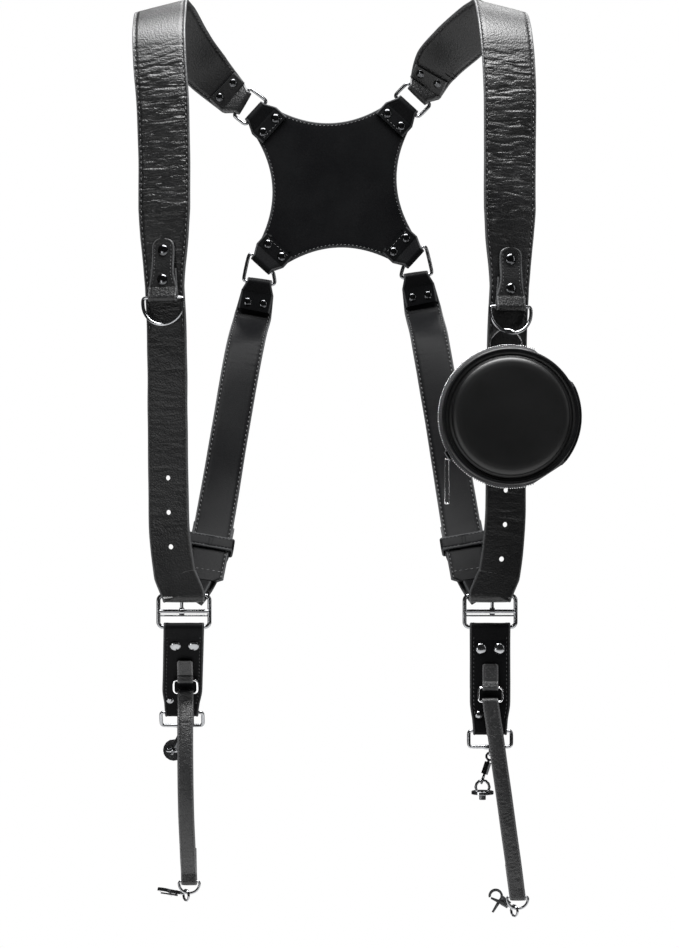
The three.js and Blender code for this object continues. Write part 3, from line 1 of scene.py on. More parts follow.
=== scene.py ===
"""Looks of a worn dual-strap leather harness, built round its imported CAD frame.

Sizes are in millimetres, as in the part's source, and become metres when a mesh is made. The wearer's
front faces -Y. Each sub-assembly is a class that builds its pieces; each finish is a frozen dataclass.
"""

from __future__ import annotations

import logging
import math
from dataclasses import dataclass, field
from enum import Enum
from typing import Callable, Iterable, Sequence

import bmesh
import bpy
from mathutils import Matrix, Vector, noise

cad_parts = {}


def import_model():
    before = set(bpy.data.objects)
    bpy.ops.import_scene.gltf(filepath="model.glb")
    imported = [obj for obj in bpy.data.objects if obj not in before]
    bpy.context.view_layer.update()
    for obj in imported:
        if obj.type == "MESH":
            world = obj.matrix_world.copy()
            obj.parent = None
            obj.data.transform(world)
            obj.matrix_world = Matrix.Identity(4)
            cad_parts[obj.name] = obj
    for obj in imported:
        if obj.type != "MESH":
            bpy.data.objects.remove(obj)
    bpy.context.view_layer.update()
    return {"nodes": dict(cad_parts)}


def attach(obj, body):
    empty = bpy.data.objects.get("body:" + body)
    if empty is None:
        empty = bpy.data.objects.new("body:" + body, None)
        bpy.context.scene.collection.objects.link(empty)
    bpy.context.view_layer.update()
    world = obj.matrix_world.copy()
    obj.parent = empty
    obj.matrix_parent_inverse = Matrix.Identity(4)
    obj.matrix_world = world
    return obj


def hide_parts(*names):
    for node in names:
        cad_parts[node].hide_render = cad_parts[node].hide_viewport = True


log = logging.getLogger("harness")

MM = 0.001
ORIGIN_SHIFT = Vector((6.0, -90.0, 0.0))
FIT = 0.3
SLIP = 0.9
X = Vector((1.0, 0.0, 0.0))
BACK = Vector((0.0, 1.0, 0.0))
FRONT = Vector((0.0, -1.0, 0.0))
UP = Vector((0.0, 0.0, 1.0))
DOWN = Vector((0.0, 0.0, -1.0))


def rad(degrees: float) -> float:
    """Degrees as radians."""
    return math.radians(degrees)


def mix(a: float, b: float, share: float) -> float:
    """The value that lies a share of the way from a to b."""
    return a + (b - a) * share


def ramp(value: float, low: float, high: float) -> float:
    """Smooth step from 0 at low to 1 at high."""
    share = min(1.0, max(0.0, (value - low) / (high - low)))
    return share * share * (3 - 2 * share)


def along(point: Vector, *steps: tuple[Vector, float]) -> Vector:
    """A point moved by (direction, distance) steps."""
    moved = point.copy()
    for direction, distance in steps:
        moved += direction * distance
    return moved


def ridges(place: Vector) -> float:
    """Sharp-crested noise from 0 to 1."""
    return 1 - abs(noise.noise(place)) * 2


def linked(name: str, data: bpy.types.ID) -> bpy.types.Object:
    """A new object of the scene."""
    obj = bpy.data.objects.new(name, data)
    bpy.context.scene.collection.objects.link(obj)
    return obj


def meshed(name: str, bm: bmesh.types.BMesh) -> bpy.types.Object:
    """A new object with the mesh of a bmesh, which is freed."""
    mesh = bpy.data.meshes.new(name)
    bm.to_mesh(mesh)
    bm.free()
    return linked(name, mesh)


def to_frame(bm: bmesh.types.BMesh) -> None:
    """Turns millimetres from the chest plane into metres from the frame's origin."""
    place = Matrix.Scale(MM, 4) @ Matrix.Translation(ORIGIN_SHIFT)
    bmesh.ops.transform(bm, matrix=place, verts=bm.verts)


# ---- Sides and rows of the worn form


@dataclass(frozen=True)
class Side:
    """What differs between the two sides, as worn."""

    name: str
    sign: int
    rear_rise: float
    rear_bulge: float
    tab_shift: float
    ring_tilt: float
    hole_start: float
    drop_lean: float
    drop_skew: float
    tether_out: float
    tether_bow: float
    tether_share: float
    pucker: float

    @property
    def outward(self) -> Vector:
        """Direction away from the wearer's middle."""
        return Vector((float(self.sign), 0.0, 0.0))

    def across(self, turn: float, roll: float) -> Vector:
        """Width direction of a strap: inward, turned to the viewer and rolled up, in degrees."""
        return Vector((
            -self.sign * math.cos(rad(roll)) * math.cos(rad(turn)),
            -math.cos(rad(roll)) * math.sin(rad(turn)),
            math.sin(rad(roll)),
        ))


LEFT = Side("left", -1, 30, 7, -4, 4, 44, 30, 4.6, -3.3, 27, 0.98, 0.35)
RIGHT = Side("right", 1, 46, -7, 4, 10, 33, 0, 0, 24.3, 6, 1.0, 1.0)
SIDES = (LEFT, RIGHT)

# Columns: drop, depth, out, width, turn, roll
FRONT_RUN = (
    (0, 1, 1, 1, 0, 1),
    (0.005, 0.73, 1.03, 1, 0.1, 0.85),
    (0.026, 0.467, 1.06, 1, 0.3, 0.6),
    (0.059, 0.267, 1.09, 1, 0.5, 0.4),
    (0.11, 0.133, 1.1, 1, 0.7, 0.2),
    (0.175, 0.045, 1.04, 1, 0.85, 0.05),
    (0.269, 0, 0.97, 1, 1, 0),
    (0.36, -0.03, 0.96, 1, 1, 0),
    (0.41, -0.03, 0.955, 0.7, 1, 0),
    (0.455, -0.03, 0.95, 0.25, 1, 0),
    (0.49, -0.03, 0.93, 0, 1, 0),
    (0.585, -0.03, 0.82, 0, 0.9, 0),
    (0.718, 0, 0.8, 0, 0.85, 0),
    (0.817, 0, 0.77, 0, 0.8, 0),
    (0.884, 0, 0.73, 0, 0.65, 0),
    (0.925, 0, 0.62, 0, 0.45, 0),
    (0.967, 0, 0.45, 0, 0.2, 0),
)
# Columns: drop, depth, out, width, roll, bulge
REAR_RUN = (
    (0.325, 0.14, 0.26, 0.64, 0.38, 1),
    (0.6, 0.43, 0.56, 0.95, 0.62, 1),
    (0.91, 0.76, 0.87, 1, 0.85, 0.3),
)
# Columns: drop, depth, out, turn
SIDE_RUN = (
    (0.207, 0.22, 0.19, -10),
    (0.47, 0.47, 0.38, -20),
    (0.646, 0.616, 0.503, -18),
    (0.787, 0.763, 0.6, -10),
)
KEEPER_PLACE = (0.843, 0.834, 0.643, -9)
SIDE_END = (0.945, 0.963, 0.72, -6)


@dataclass(frozen=True)
class Sizes:
    """Main sizes of the part, as in its source."""

    shoulder_out: float = 156
    crest_depth: float = 90
    crest_shift: float = -6
    shift_fade: float = 0.2
    torso_depth: float = 200
    buckle_drop: float = 542
    buckle_out: float = 138
    strap: float = 2.4
    strap_width: float = 50
    lower_width: float = 38
    rear_width: float = 36
    loop_width: float = 24
    crest_roll: float = 16
    hole_radius: float = 2.3
    hole_pitch: float = 31
    side_width: float = 36
    side_strap: float = 2.2
    flap: float = 27
    chape_width: float = 15
    chape: float = 1.2
    tail_overrun: float = 24
    tail_lift: float = 1.2
    tail_slide: float = 0.45
    keeper_width: float = 14
    keeper: float = 1.8
    plate_drop: float = 152
    plate_shift: float = -2.6
    plate_lean: float = 2.5
    plate: float = 2.6
    plate_waist: float = 60.5
    arm_reach: float = 103
    arm_width: float = 35
    plate_flap: float = 24
    back_wire: float = 1.8
    upper_gap: float = 18
    lower_gap: float = 19.5
    lower_lean: float = 10
    lower_tilt: float = 8
    tab_drop: float = 225
    tab_length: float = 53
    tab_top: float = 21.6
    tab_foot: float = 27.5
    tab: float = 2
    tab_leaf: float = 27
    tab_turn: float = 18
    d_wire: float = 1.6
    d_width: float = 39
    d_depth: float = 24.6
    d_corner: float = 2.4
    buckle_wire: float = 1.8
    buckle_width: float = 46
    buckle_height: float = 28.5
    buckle_corner: float = 4.4
    roller_wire: float = 0.8
    roller_drop: float = 4
    drop_length: float = 93.4
    drop_top: float = 36.5
    drop_foot: float = 30.5
    drop: float = 2
    square_wire: float = 1.7
    anchor_drop: float = 33
    anchor_length: float = 21
    anchor_width: float = 14.3
    anchor: float = 1.5
    tether_ring_wire: float = 1.1
    tether_ring_height: float = 13
    tether_ring_tilt: float = 9
    tether_length: float = 175
    tether_width: float = 14.5
    tether: float = 2
    tether_flap: float = 30
    tether_d_wire: float = 1.25
    rivet_head: float = 5
    rivet_dome: float = 2.1
    pouch_radius: float = 63
    pouch_front: float = 22
    pouch_back: float = 20
    zip_half: float = 4.5
    pouch_ring: float = 14.5
    pouch_ring_wire: float = 1
    pouch_ring_turn: float = -12.5
    pouch_ring_place: float = 11
    hanger_width: float = 7
    hanger_length: float = 20
    hanger: float = 1.5


S = Sizes()
CHAPE_RADIUS = S.buckle_wire + FIT + S.chape / 2
FOLD_RADIUS = CHAPE_RADIUS + S.chape / 2 + 1.5 * FIT + S.strap / 2


# ---- Stations and strips


@dataclass
class Station:
    """A place on a strip: centre, width direction and width."""

    p: Vector
    w: Vector
    width: float


@dataclass(frozen=True)
class Bar:
    """A wire that leather folds round."""

    centre: Vector
    along: Vector


def curve_point(points: Sequence[Vector], t: float) -> Vector:
    """Point at share t of a centripetal curve through points.

    Args:
        points: what the curve passes through.
        t: share from 0 to 1, with equal shares for the spans.

    Returns:
        The point.
    """
    last = len(points) - 1
    whole = last * t
    span = min(int(whole), last - 1)
    u = whole - span
    p1, p2 = points[span], points[span + 1]
    p0 = points[span - 1] if span > 0 else p1 * 2 - p2
    p3 = points[span + 2] if span + 2 <= last else p2 * 2 - p1
    d1 = math.sqrt((p2 - p1).length) or 1.0
    d0 = math.sqrt((p1 - p0).length) or d1
    d2 = math.sqrt((p3 - p2).length) or d1
    m1 = ((p1 - p0) / d0 - (p2 - p0) / (d0 + d1) + (p2 - p1) / d1) * d1
    m2 = ((p2 - p1) / d1 - (p3 - p1) / (d1 + d2) + (p3 - p2) / d2) * d1
    cubic = p1 * 2 - p2 * 2 + m1 + m2
    square = p2 * 3 - p1 * 3 - m1 * 2 - m2
    return cubic * u ** 3 + square * u ** 2 + m1 * u + p1


def smooth(stations: Sequence[Station], per_span: int) -> list[Station]:
    """Stations spread evenly on a smooth curve through chosen ones."""
    points = [s.p for s in stations]
    spans = len(stations) - 1
    made = []
    for i in range(spans * per_span + 1):
        span = min(i // per_span, spans - 1)
        share = i / per_span - span
        a, b = stations[span], stations[span + 1]
        w = a.w.lerp(b.w, share).normalized()
        made.append(Station(curve_point(points, i / (spans * per_span)), w, mix(a.width, b.width, share)))
    return made


def wrap(bar: Bar, away: Vector, face: Vector, radius: float, width: float, steps: int = 14) -> list[Station]:
    """Half turn of leather round a bar, from its face side over the end that points against away."""
    made = []
    for i in range(steps + 1):
        angle = math.pi * i / steps
        place = along(bar.centre, (face, radius * math.cos(angle)), (away, -radius * math.sin(angle)))
        made.append(Station(place, bar.along, width))
    return made


def folded_end(
    bar: Bar, away: Vector, face: Vector, wire: float, thickness: float, widths: tuple[float, float, float],
    flap: float,
) -> list[Station]:
    """A strip's folded end: flap on the face side, half turn round the bar, start of the main layer.

    Args:
        bar: the wire.
        away: direction from the bar along the strip.
        face: side that the flap lies on.
        wire: radius of the wire.
        thickness: of the leather.
        widths: at the flap's tip, at its seat and round the bar.
        flap: length of the flap.

    Returns:
        Stations from the flap's tip to the main layer.
    """
    radius = wire + FIT + thickness / 2
    rest = thickness + FIT - radius
    landing = radius * 3
    tip, seat, neck = widths
    return [
        Station(along(bar.centre, (away, flap), (face, rest)), bar.along, tip),
        Station(along(bar.centre, (away, landing), (face, rest)), bar.along, seat),
        Station(along(bar.centre, (away, landing / 2), (face, (rest + radius) / 2)), bar.along, (seat + neck) / 2),
        *wrap(bar, away, face, radius, neck),
        Station(along(bar.centre, (away, landing), (face, -radius)), bar.along, seat),
    ]


@dataclass
class Strip:
    """A leather strip laid through stations, from which a mesh and its trimmings are made.

    The face is the side that normal points to: tangent crossed with the width direction, times hand.
    """

    stations: list[Station]
    thickness: float
    hand: int = 1
    step: float = 2.0
    places: list[tuple[float, Vector, Vector, Vector, Vector, float]] = field(default_factory=list)

    def __post_init__(self) -> None:
        """Spreads places (distance, centre, tangent, width direction, normal, width) along the strip."""
        points = [s.p for s in self.stations]
        runs = [0.0]
        for a, b in zip(points, points[1:]):
            runs.append(runs[-1] + (b - a).length)
        self.length = runs[-1]
        count = max(2, round(self.length / self.step))
        marks = sorted({i * self.length / count for i in range(count + 1)} | set(runs))
        kept = [marks[0]]
        for mark in marks[1:]:
            if mark - kept[-1] > 0.25:
                kept.append(mark)
        kept[-1] = marks[-1]
        rows = []
        span = 0
        for mark in kept:
            while span < len(runs) - 2 and mark > runs[span + 1]:
                span += 1
            share = (mark - runs[span]) / max(runs[span + 1] - runs[span], 1e-9)
            a, b = self.stations[span], self.stations[span + 1]
            rows.append([mark, a.p.lerp(b.p, share), a.w.lerp(b.w, share), mix(a.width, b.width, share)])
        for i, (mark, p, w, width) in enumerate(rows):
            tangent = (rows[min(i + 1, len(rows) - 1)][1] - rows[max(i - 1, 0)][1]).normalized()
            normal = tangent.cross(w).normalized()
            across = normal.cross(tangent).normalized()
            self.places.append((mark, p, tangent, across, normal * self.hand, width))

    def turned(self, flip: bool) -> "Strip":
        """The strip itself, or with its face on the other side."""
        return Strip(self.stations, self.thickness, -self.hand, self.step) if flip else self

    def at(self, distance: float) -> tuple[Vector, Vector, Vector, Vector, float]:
        """Centre, tangent, width direction, normal and width at a distance along the strip."""
        for a, b in zip(self.places, self.places[1:]):
            if b[0] >= distance:
                share = (distance - a[0]) / max(b[0] - a[0], 1e-9)
                place, *directions = [a[k].lerp(b[k], share) for k in range(1, 5)]
                return place, *(way.normalized() for way in directions), mix(a[5], b[5], share)
        return self.places[-1][1:]


Relief = Callable[[float, float, bool], float]
# rim: where the finishes paint a highlight on rounded edges; seam: where they paint shade in seam grooves; worked:
# creases, bumped and with painted shade.
MARKS = ("rim", "seam", "worked")


def seam_half(margin: float) -> float:
    """Half width of a seam's groove."""
    return min(1.0, 0.7 * (margin - 1.2))


def section(
    width: float, thickness: float, crown: float, inner: int, margin: float
) -> list[tuple[float, float, float, int]]:
    """Cut across a strip, as a closed run of points.

    Args:
        width: of the strip.
        thickness: of the leather.
        crown: height of the face's middle over its edges.
        inner: number of points across a face between the seams.
        margin: edge to seam.

    Returns:
        Rows of across, lift, edge (1 at the rim) and side (1 face, -1 underside, 0 rim).
    """
    half = width / 2
    lift = thickness / 2
    round_off = min(0.42 * thickness, 0.9)
    seam = half - margin
    wide = seam_half(margin)
    shares = [half - round_off, half - round_off - 0.3, seam + wide, seam + wide / 2, seam - wide / 2, seam - wide]
    middle = [seam - wide - 2 * (seam - wide) * (k + 1) / (inner + 1) for k in range(inner)]
    across = shares + middle + [-x for x in reversed(shares)]
    rim = [(45, 0.95), (90, 1.0), (135, 0.95)]
    rows = []
    for hand in (1, -1):
        for x in across if hand == 1 else reversed(across):
            bow = crown * max(0.0, 1 - (x / half) ** 2) if hand == 1 else 0.0
            # edge feeds the rim mark, where the finishes paint a highlight, and fades the relief at the rims.
            edge = ramp(abs(x), half - 2.2, half - 0.5)
            rows.append((x, hand * lift + bow, edge, hand))
        for angle, edge in rim:
            turn = rad(angle)
            side = -hand
            x = side * (half - round_off + round_off * math.sin(turn))
            rows.append((x, hand * lift * math.cos(turn), edge, 0))
    return rows


def lattice(bm: bmesh.types.BMesh, columns: int, rows: int) -> dict[tuple[int, int], bmesh.types.BMVert]:
    """A grid of vertices by column and row, with its faces."""
    made = bmesh.ops.create_grid(bm, x_segments=columns, y_segments=rows, size=1.0, calc_uvs=True)["verts"]
    return {(round((v.co.x + 1) / 2 * columns), round((v.co.y + 1) / 2 * rows)): v for v in made}


def new_bmesh() -> bmesh.types.BMesh:
    """A bmesh with a UV map and the rim and seam marks that the finishes read: where they paint a highlight on rims
    and shade in seam grooves.
    """
    bm = bmesh.new()
    bm.loops.layers.uv.new("UVMap")
    for name in MARKS:
        bm.verts.layers.float.new(name)
    return bm


def sweep(bm: bmesh.types.BMesh, rings: Sequence[Sequence[Vector]],
          marks: Sequence[Sequence[tuple[float, ...]]] | None = None,
          uvs: Sequence[Sequence[tuple[float, float]]] | None = None, closed: bool = False) -> None:
    """Skins equal rings of points with a grid, welds its seam and closes its ends.

    Args:
        bm: the mesh to add to.
        rings: rings of points, in millimetres.
        marks: values of the marks for each point, or None.
        uvs: pattern coordinates for each point, or None.
        closed: whether the last ring joins the first.
    """
    count = len(rings[0])
    rows = len(rings) if closed else len(rings) - 1
    grid = lattice(bm, count, rows)
    layers = [bm.verts.layers.float[name] for name in MARKS]
    uv_layer = bm.loops.layers.uv["UVMap"]
    for (i, j), v in grid.items():
        k, r = i % count, j % len(rings)
        v.co = rings[r][k]
        if marks:
            for layer, value in zip(layers, marks[r][k]):
                v[layer] = value
        if uvs:
            for loop in v.link_loops:
                loop[uv_layer].uv = uvs[r][k]
    verts = list(grid.values())
    bmesh.ops.remove_doubles(bm, verts=verts, dist=1e-4)
    if not closed:
        verts = [v for v in verts if v.is_valid]
        open_edges = [e for v in verts for e in v.link_edges if e.is_boundary]
        filled = bmesh.ops.holes_fill(bm, edges=list(set(open_edges)), sides=0)["faces"]
        for face in filled:
            for edge in face.edges:
                edge.smooth = False


def strip_mesh(bm: bmesh.types.BMesh, strip: Strip, crown: float = 0.0, inner: int = 8, margin: float = 2.6,
               relief: Relief | None = None, groove: Callable[[float], float] | None = None,
               wander: float = 0.0, worked: Callable[[float], float] | None = None) -> None:
    """Adds a strip's body: rounded rims, crowned face, seam grooves and relief.

    Args:
        bm: the mesh to add to.
        strip: the strip.
        crown: height of the face's middle.
        inner: points across a face between the seams.
        margin: edge to seam.
        relief: height that is added at (distance, across, face), in millimetres.
        groove: depth of the seam's groove at a distance.
        wander: unevenness of the edges.
        worked: share of the leather's creases at a distance.
    """
    rings, marks, uvs = [], [], []
    wide = seam_half(margin)
    for mark, p, _, w, n, width in strip.places:
        ring, mark_row, uv_row = [], [], []
        depth = groove(mark) if groove else 0.0
        use = worked(mark) if worked else 0.0
        sway = wander * noise.noise(Vector((mark * 0.03, strip.length, 3.1)))
        for x, lift, edge, hand in section(width, strip.thickness, crown, inner, margin):
            near = 1 - ramp(abs(abs(x) - (width / 2 - margin)), 0.55 * wide, 0.95 * wide) if hand else 0.0
            height = lift - hand * near * depth
            if relief and hand:
                height += hand * relief(mark, x, hand == 1) * (1 - edge)
            ring.append(along(p, (w, x + sway), (n, height)))
            # Marks: rim (painted highlight), seam groove depth (painted shade) and worked creases (bump and painted
            # shade).
            mark_row.append((edge, near * min(1.0, depth * 4), use * (1 - near) * (1 - edge)))
            uv_row.append((x * MM, mark * MM))
        rings.append(ring)
        marks.append(mark_row)
        uvs.append(uv_row)
    sweep(bm, rings, marks, uvs)


def tube(bm: bmesh.types.BMesh, path: Sequence[Vector], radius: float, normal: Vector | None = None,
         closed: bool = False, sides: int = 12) -> None:
    """Adds a round wire along a path; normal is any direction that the path never follows."""
    rings = []
    count = len(path)
    lift = (normal or UP).normalized()
    for i, p in enumerate(path):
        before = path[(i - 1) % count] if closed else path[max(i - 1, 0)]
        after = path[(i + 1) % count] if closed else path[min(i + 1, count - 1)]
        tangent = (after - before).normalized()
        side = tangent.cross(lift).normalized()
        level = side.cross(tangent).normalized()
        angles = [2 * math.pi * k / sides for k in range(sides)]
        rings.append([along(p, (side, radius * math.cos(a)), (level, radius * math.sin(a))) for a in angles])
    sweep(bm, rings, closed=closed)


def rounded_loop(
    centre: Vector, u: Vector, v: Vector, half_u: float, half_v: float, corner: float, steps: int
) -> list[Vector]:
    """Rounded rectangle about a centre, with half sizes along the directions u and v.

    Args:
        centre: middle of the rectangle.
        u: first direction.
        v: second direction.
        half_u: half size along u.
        half_v: half size along v.
        corner: radius of the corners.
        steps: of each corner.

    Returns:
        Points in order round the loop.
    """
    path = []
    for i, (right, up) in enumerate(((1, -1), (1, 1), (-1, 1), (-1, -1))):
        for k in range(steps + 1):
            angle = rad(90 * (i - 1) + 90 * k / steps)
            path.append(along(
                centre, (u, right * (half_u - corner) + corner * math.cos(angle)),
                (v, up * (half_v - corner) + corner * math.sin(angle)),
            ))
    return path


def lathe(bm: bmesh.types.BMesh, profile: Sequence[tuple[float, float]], centre: Vector, axis: Vector,
          steps: int = 24) -> None:
    """Spins a profile of (radius, height) round an axis through a centre and closes its poles."""
    turn = BACK.rotation_difference(axis.normalized()).to_matrix()
    points = [bm.verts.new(Vector((r, h, 0.0))) for r, h in profile]
    edges = [bm.edges.new(pair) for pair in zip(points, points[1:])]
    bmesh.ops.spin(
        bm, geom=[*points, *edges], cent=(0, 0, 0), axis=BACK, angle=2 * math.pi, steps=steps, use_merge=True,
    )
    fresh = set(points)
    stack = list(points)
    while stack:
        for edge in stack.pop().link_edges:
            for other in edge.verts:
                if other not in fresh:
                    fresh.add(other)
                    stack.append(other)
    fresh = list(fresh)
    bmesh.ops.transform(bm, matrix=Matrix.Translation(centre) @ turn.to_4x4(), verts=fresh)
    bmesh.ops.remove_doubles(bm, verts=fresh, dist=1e-4)


def bead(bm: bmesh.types.BMesh, centre: Vector, direction: Vector, normal: Vector,
         size: tuple[float, float, float]) -> None:
    """Adds one stitch: a small oval along direction, (length, width, height) in millimetres."""
    side = normal.cross(direction).normalized()
    basis = Matrix((direction.normalized(), side, normal.normalized())).transposed()
    scale = Matrix.Diagonal(Vector(size) / 2)
    place = Matrix.Translation(centre) @ (basis @ scale).to_4x4()
    bmesh.ops.create_icosphere(bm, subdivisions=1, radius=1.0, matrix=place)


@dataclass(frozen=True)
class Thread:
    """Sewing of a seam."""

    pitch: float = 5.0
    length: float = 3.5
    width: float = 1.15
    height: float = 0.8
    slant: float = 0.14


def stitch_path(bm: bmesh.types.BMesh, path: Sequence[tuple[Vector, Vector]], thread: Thread) -> None:
    """Adds stitches along a path of (place on the surface, surface normal)."""
    total = sum((b[0] - a[0]).length for a, b in zip(path, path[1:]))
    count = max(1, round(total / thread.pitch))
    pitch = total / count
    run = 0.0
    goal = pitch / 2
    for (a, an), (b, bn) in zip(path, path[1:]):
        span = (b - a).length
        while span > 0 and goal <= run + span:
            share = (goal - run) / span
            direction = (b - a).normalized()
            normal = an.lerp(bn, share).normalized()
            lean = (direction + normal.cross(direction) * thread.slant).normalized()
            bead(bm, a.lerp(b, share), lean, normal, (thread.length, thread.width, thread.height))
            goal += pitch
        run += span


def seam_rows(
    strip: Strip, start: float, stop: float, margin: float, faces: Iterable[int] = (1,),
    crown: float = 0.0, sink: float = 0.05,
) -> list[list[tuple[Vector, Vector]]]:
    """Paths for stitches along a strip's edges, between two distances."""
    paths = []
    for face in faces:
        for side in (1, -1):
            path = []
            for mark, p, _, w, n, width in strip.places:
                if start <= mark <= stop:
                    x = side * (width / 2 - margin)
                    bow = crown * max(0.0, 1 - (2 * x / width) ** 2) if face == 1 else 0.0
                    path.append((along(p, (w, x), (n, face * (strip.thickness / 2 + bow - sink))), n * face))
            if len(path) > 1:
                paths.append(path)
    return paths


def cross_row(p: Vector, w: Vector, n: Vector, half: float, lift: float) -> list[tuple[Vector, Vector]]:
    """Path for stitches straight across a strip."""
    return [(along(p, (w, side * half), (n, lift)), n) for side in (1, -1)]


STRAP_THREAD = Thread()
KEEPER_THREAD = Thread(3.4, 2.5, 0.6, 0.45)
PLATE_THREAD = Thread(3.8, 2.8, 0.75, 0.5)
LOOP_THREAD = Thread(3.8, 2.8, 0.7, 0.5)
TAB_THREAD = Thread(3.4, 2.5, 0.65, 0.5)
DROP_THREAD = Thread(3.8, 2.7, 0.7, 0.5)
ANCHOR_THREAD = Thread(2.4, 1.9, 0.6, 0.5)
TETHER_THREAD = Thread(3.0, 2.2, 0.6, 0.45)
TUCK_THREAD = Thread(2.3, 1.8, 0.6, 0.5)


# ---- Shader maths


class Sock:
    """A shader output that maths can be written with; an expression adds its Math nodes."""

    def __init__(self, shader: "Shader", socket: bpy.types.NodeSocket) -> None:
        """Keeps the shader and the socket."""
        self.shader = shader
        self.socket = socket

    def _math(self, operation: str, first: object, second: object) -> "Sock":
        """Adds a Math node on two values."""
        node = self.shader.node("ShaderNodeMath", {"operation": operation}, {0: first, 1: second})
        return self.shader.out(node, 0)

    def __add__(self, other: object) -> "Sock":
        """self + other."""
        return self._math("ADD", self, other)

    def __radd__(self, other: object) -> "Sock":
        """other + self."""
        return self._math("ADD", other, self)

    def __sub__(self, other: object) -> "Sock":
        """self - other."""
        return self._math("SUBTRACT", self, other)

    def __rsub__(self, other: object) -> "Sock":
        """other - self."""
        return self._math("SUBTRACT", other, self)

    def __mul__(self, other: object) -> "Sock":
        """self * other."""
        return self._math("MULTIPLY", self, other)

    def __rmul__(self, other: object) -> "Sock":
        """other * self."""
        return self._math("MULTIPLY", other, self)


class Shader:
    """A material's node tree with one surface shader."""

    def __init__(self, name: str) -> None:
        """Makes the material."""
        self.material = bpy.data.materials.new(name)
        self.material.use_nodes = True
        self.tree = self.material.node_tree
        self.tree.nodes.clear()
        self.surface = self.tree.nodes.new("ShaderNodeBsdfPrincipled")
        output = self.tree.nodes.new("ShaderNodeOutputMaterial")
        self.tree.links.new(self.surface.outputs["BSDF"], output.inputs["Surface"])

    def node(self, kind: str, settings: dict[str, object], inputs: dict[object, object]) -> bpy.types.Node:
        """Adds a node.

        Args:
            kind: the node's type.
            settings: its own settings, set first; "stops" is a ramp's list of (place, grey).
            inputs: values or Socks by socket name or number.

        Returns:
            The node.
        """
        node = self.tree.nodes.new(kind)
        for key, value in settings.items():
            if key == "stops":
                elements = node.color_ramp.elements
                while len(elements) < len(value):
                    elements.new(0.5)
                for element, (place, grey) in zip(elements, value):
                    element.position = place
                    element.color = (grey, grey, grey, 1.0)
            else:
                setattr(node, key, value)
        for key, value in inputs.items():
            self.feed(node.inputs[key], value)
        return node

    def feed(self, socket: bpy.types.NodeSocket, value: object) -> None:
        """Links or sets a socket."""
        if isinstance(value, Sock):
            self.tree.links.new(value.socket, socket)
        else:
            socket.default_value = value

    def out(self, node: bpy.types.Node, key: object) -> Sock:
        """A node's output as a Sock."""
        return Sock(self, node.outputs[key])

    def place(self, kind: str = "Object") -> Sock:
        """Pattern coordinates: Object or UV."""
        return self.out(self.node("ShaderNodeTexCoord", {}, {}), kind)

    def stretched(self, place: Sock, scale: tuple[float, float, float]) -> Sock:
        """Coordinates scaled by axis."""
        node = self.node("ShaderNodeMapping", {}, {"Vector": place, "Scale": scale})
        return self.out(node, "Vector")

    def noise(self, place: Sock, scale: float, detail: float = 4.0, rough: float = 0.55) -> Sock:
        """Cloudy noise from 0 to 1."""
        inputs = {"Vector": place, "Scale": scale, "Detail": detail, "Roughness": rough}
        return self.out(self.node("ShaderNodeTexNoise", {}, inputs), 0)

    def cells(self, place: Sock, scale: float) -> Sock:
        """Distance to the nearest cell's middle."""
        node = self.node("ShaderNodeTexVoronoi", {"feature": "F1"}, {"Vector": place, "Scale": scale})
        return self.out(node, "Distance")

    def mark(self, name: str) -> Sock:
        """A mark that the mesh carries."""
        return self.out(self.node("ShaderNodeAttribute", {"attribute_name": name}, {}), "Fac")

    def levels(self, value: Sock, stops: Sequence[tuple[float, float]]) -> Sock:
        """A value passed through a grey ramp."""
        return self.out(self.node("ShaderNodeValToRGB", {"stops": list(stops)}, {"Fac": value}), 0)

    def blend(self, share: Sock, low: object, high: object) -> Sock:
        """Colour between two colours."""
        first, second = (colour if isinstance(colour, Sock) else (*colour, 1.0) for colour in (low, high))
        settings = {"data_type": "RGBA", "clamp_factor": True}
        return self.out(self.node("ShaderNodeMix", settings, {0: share, 6: first, 7: second}), 2)

    def bump(self, height: Sock, depth: float, strength: float) -> None:
        """Feeds a bump of a depth in metres to the surface."""
        node = self.node("ShaderNodeBump", {}, {"Height": height, "Distance": depth, "Strength": strength})
        self.feed(self.surface.inputs["Normal"], self.out(node, "Normal"))

    def set(self, **values: object) -> None:
        """Sets or links the surface's sockets; an underscore stands for a space."""
        for name, value in values.items():
            self.feed(self.surface.inputs[name.replace("_", " ")], value)


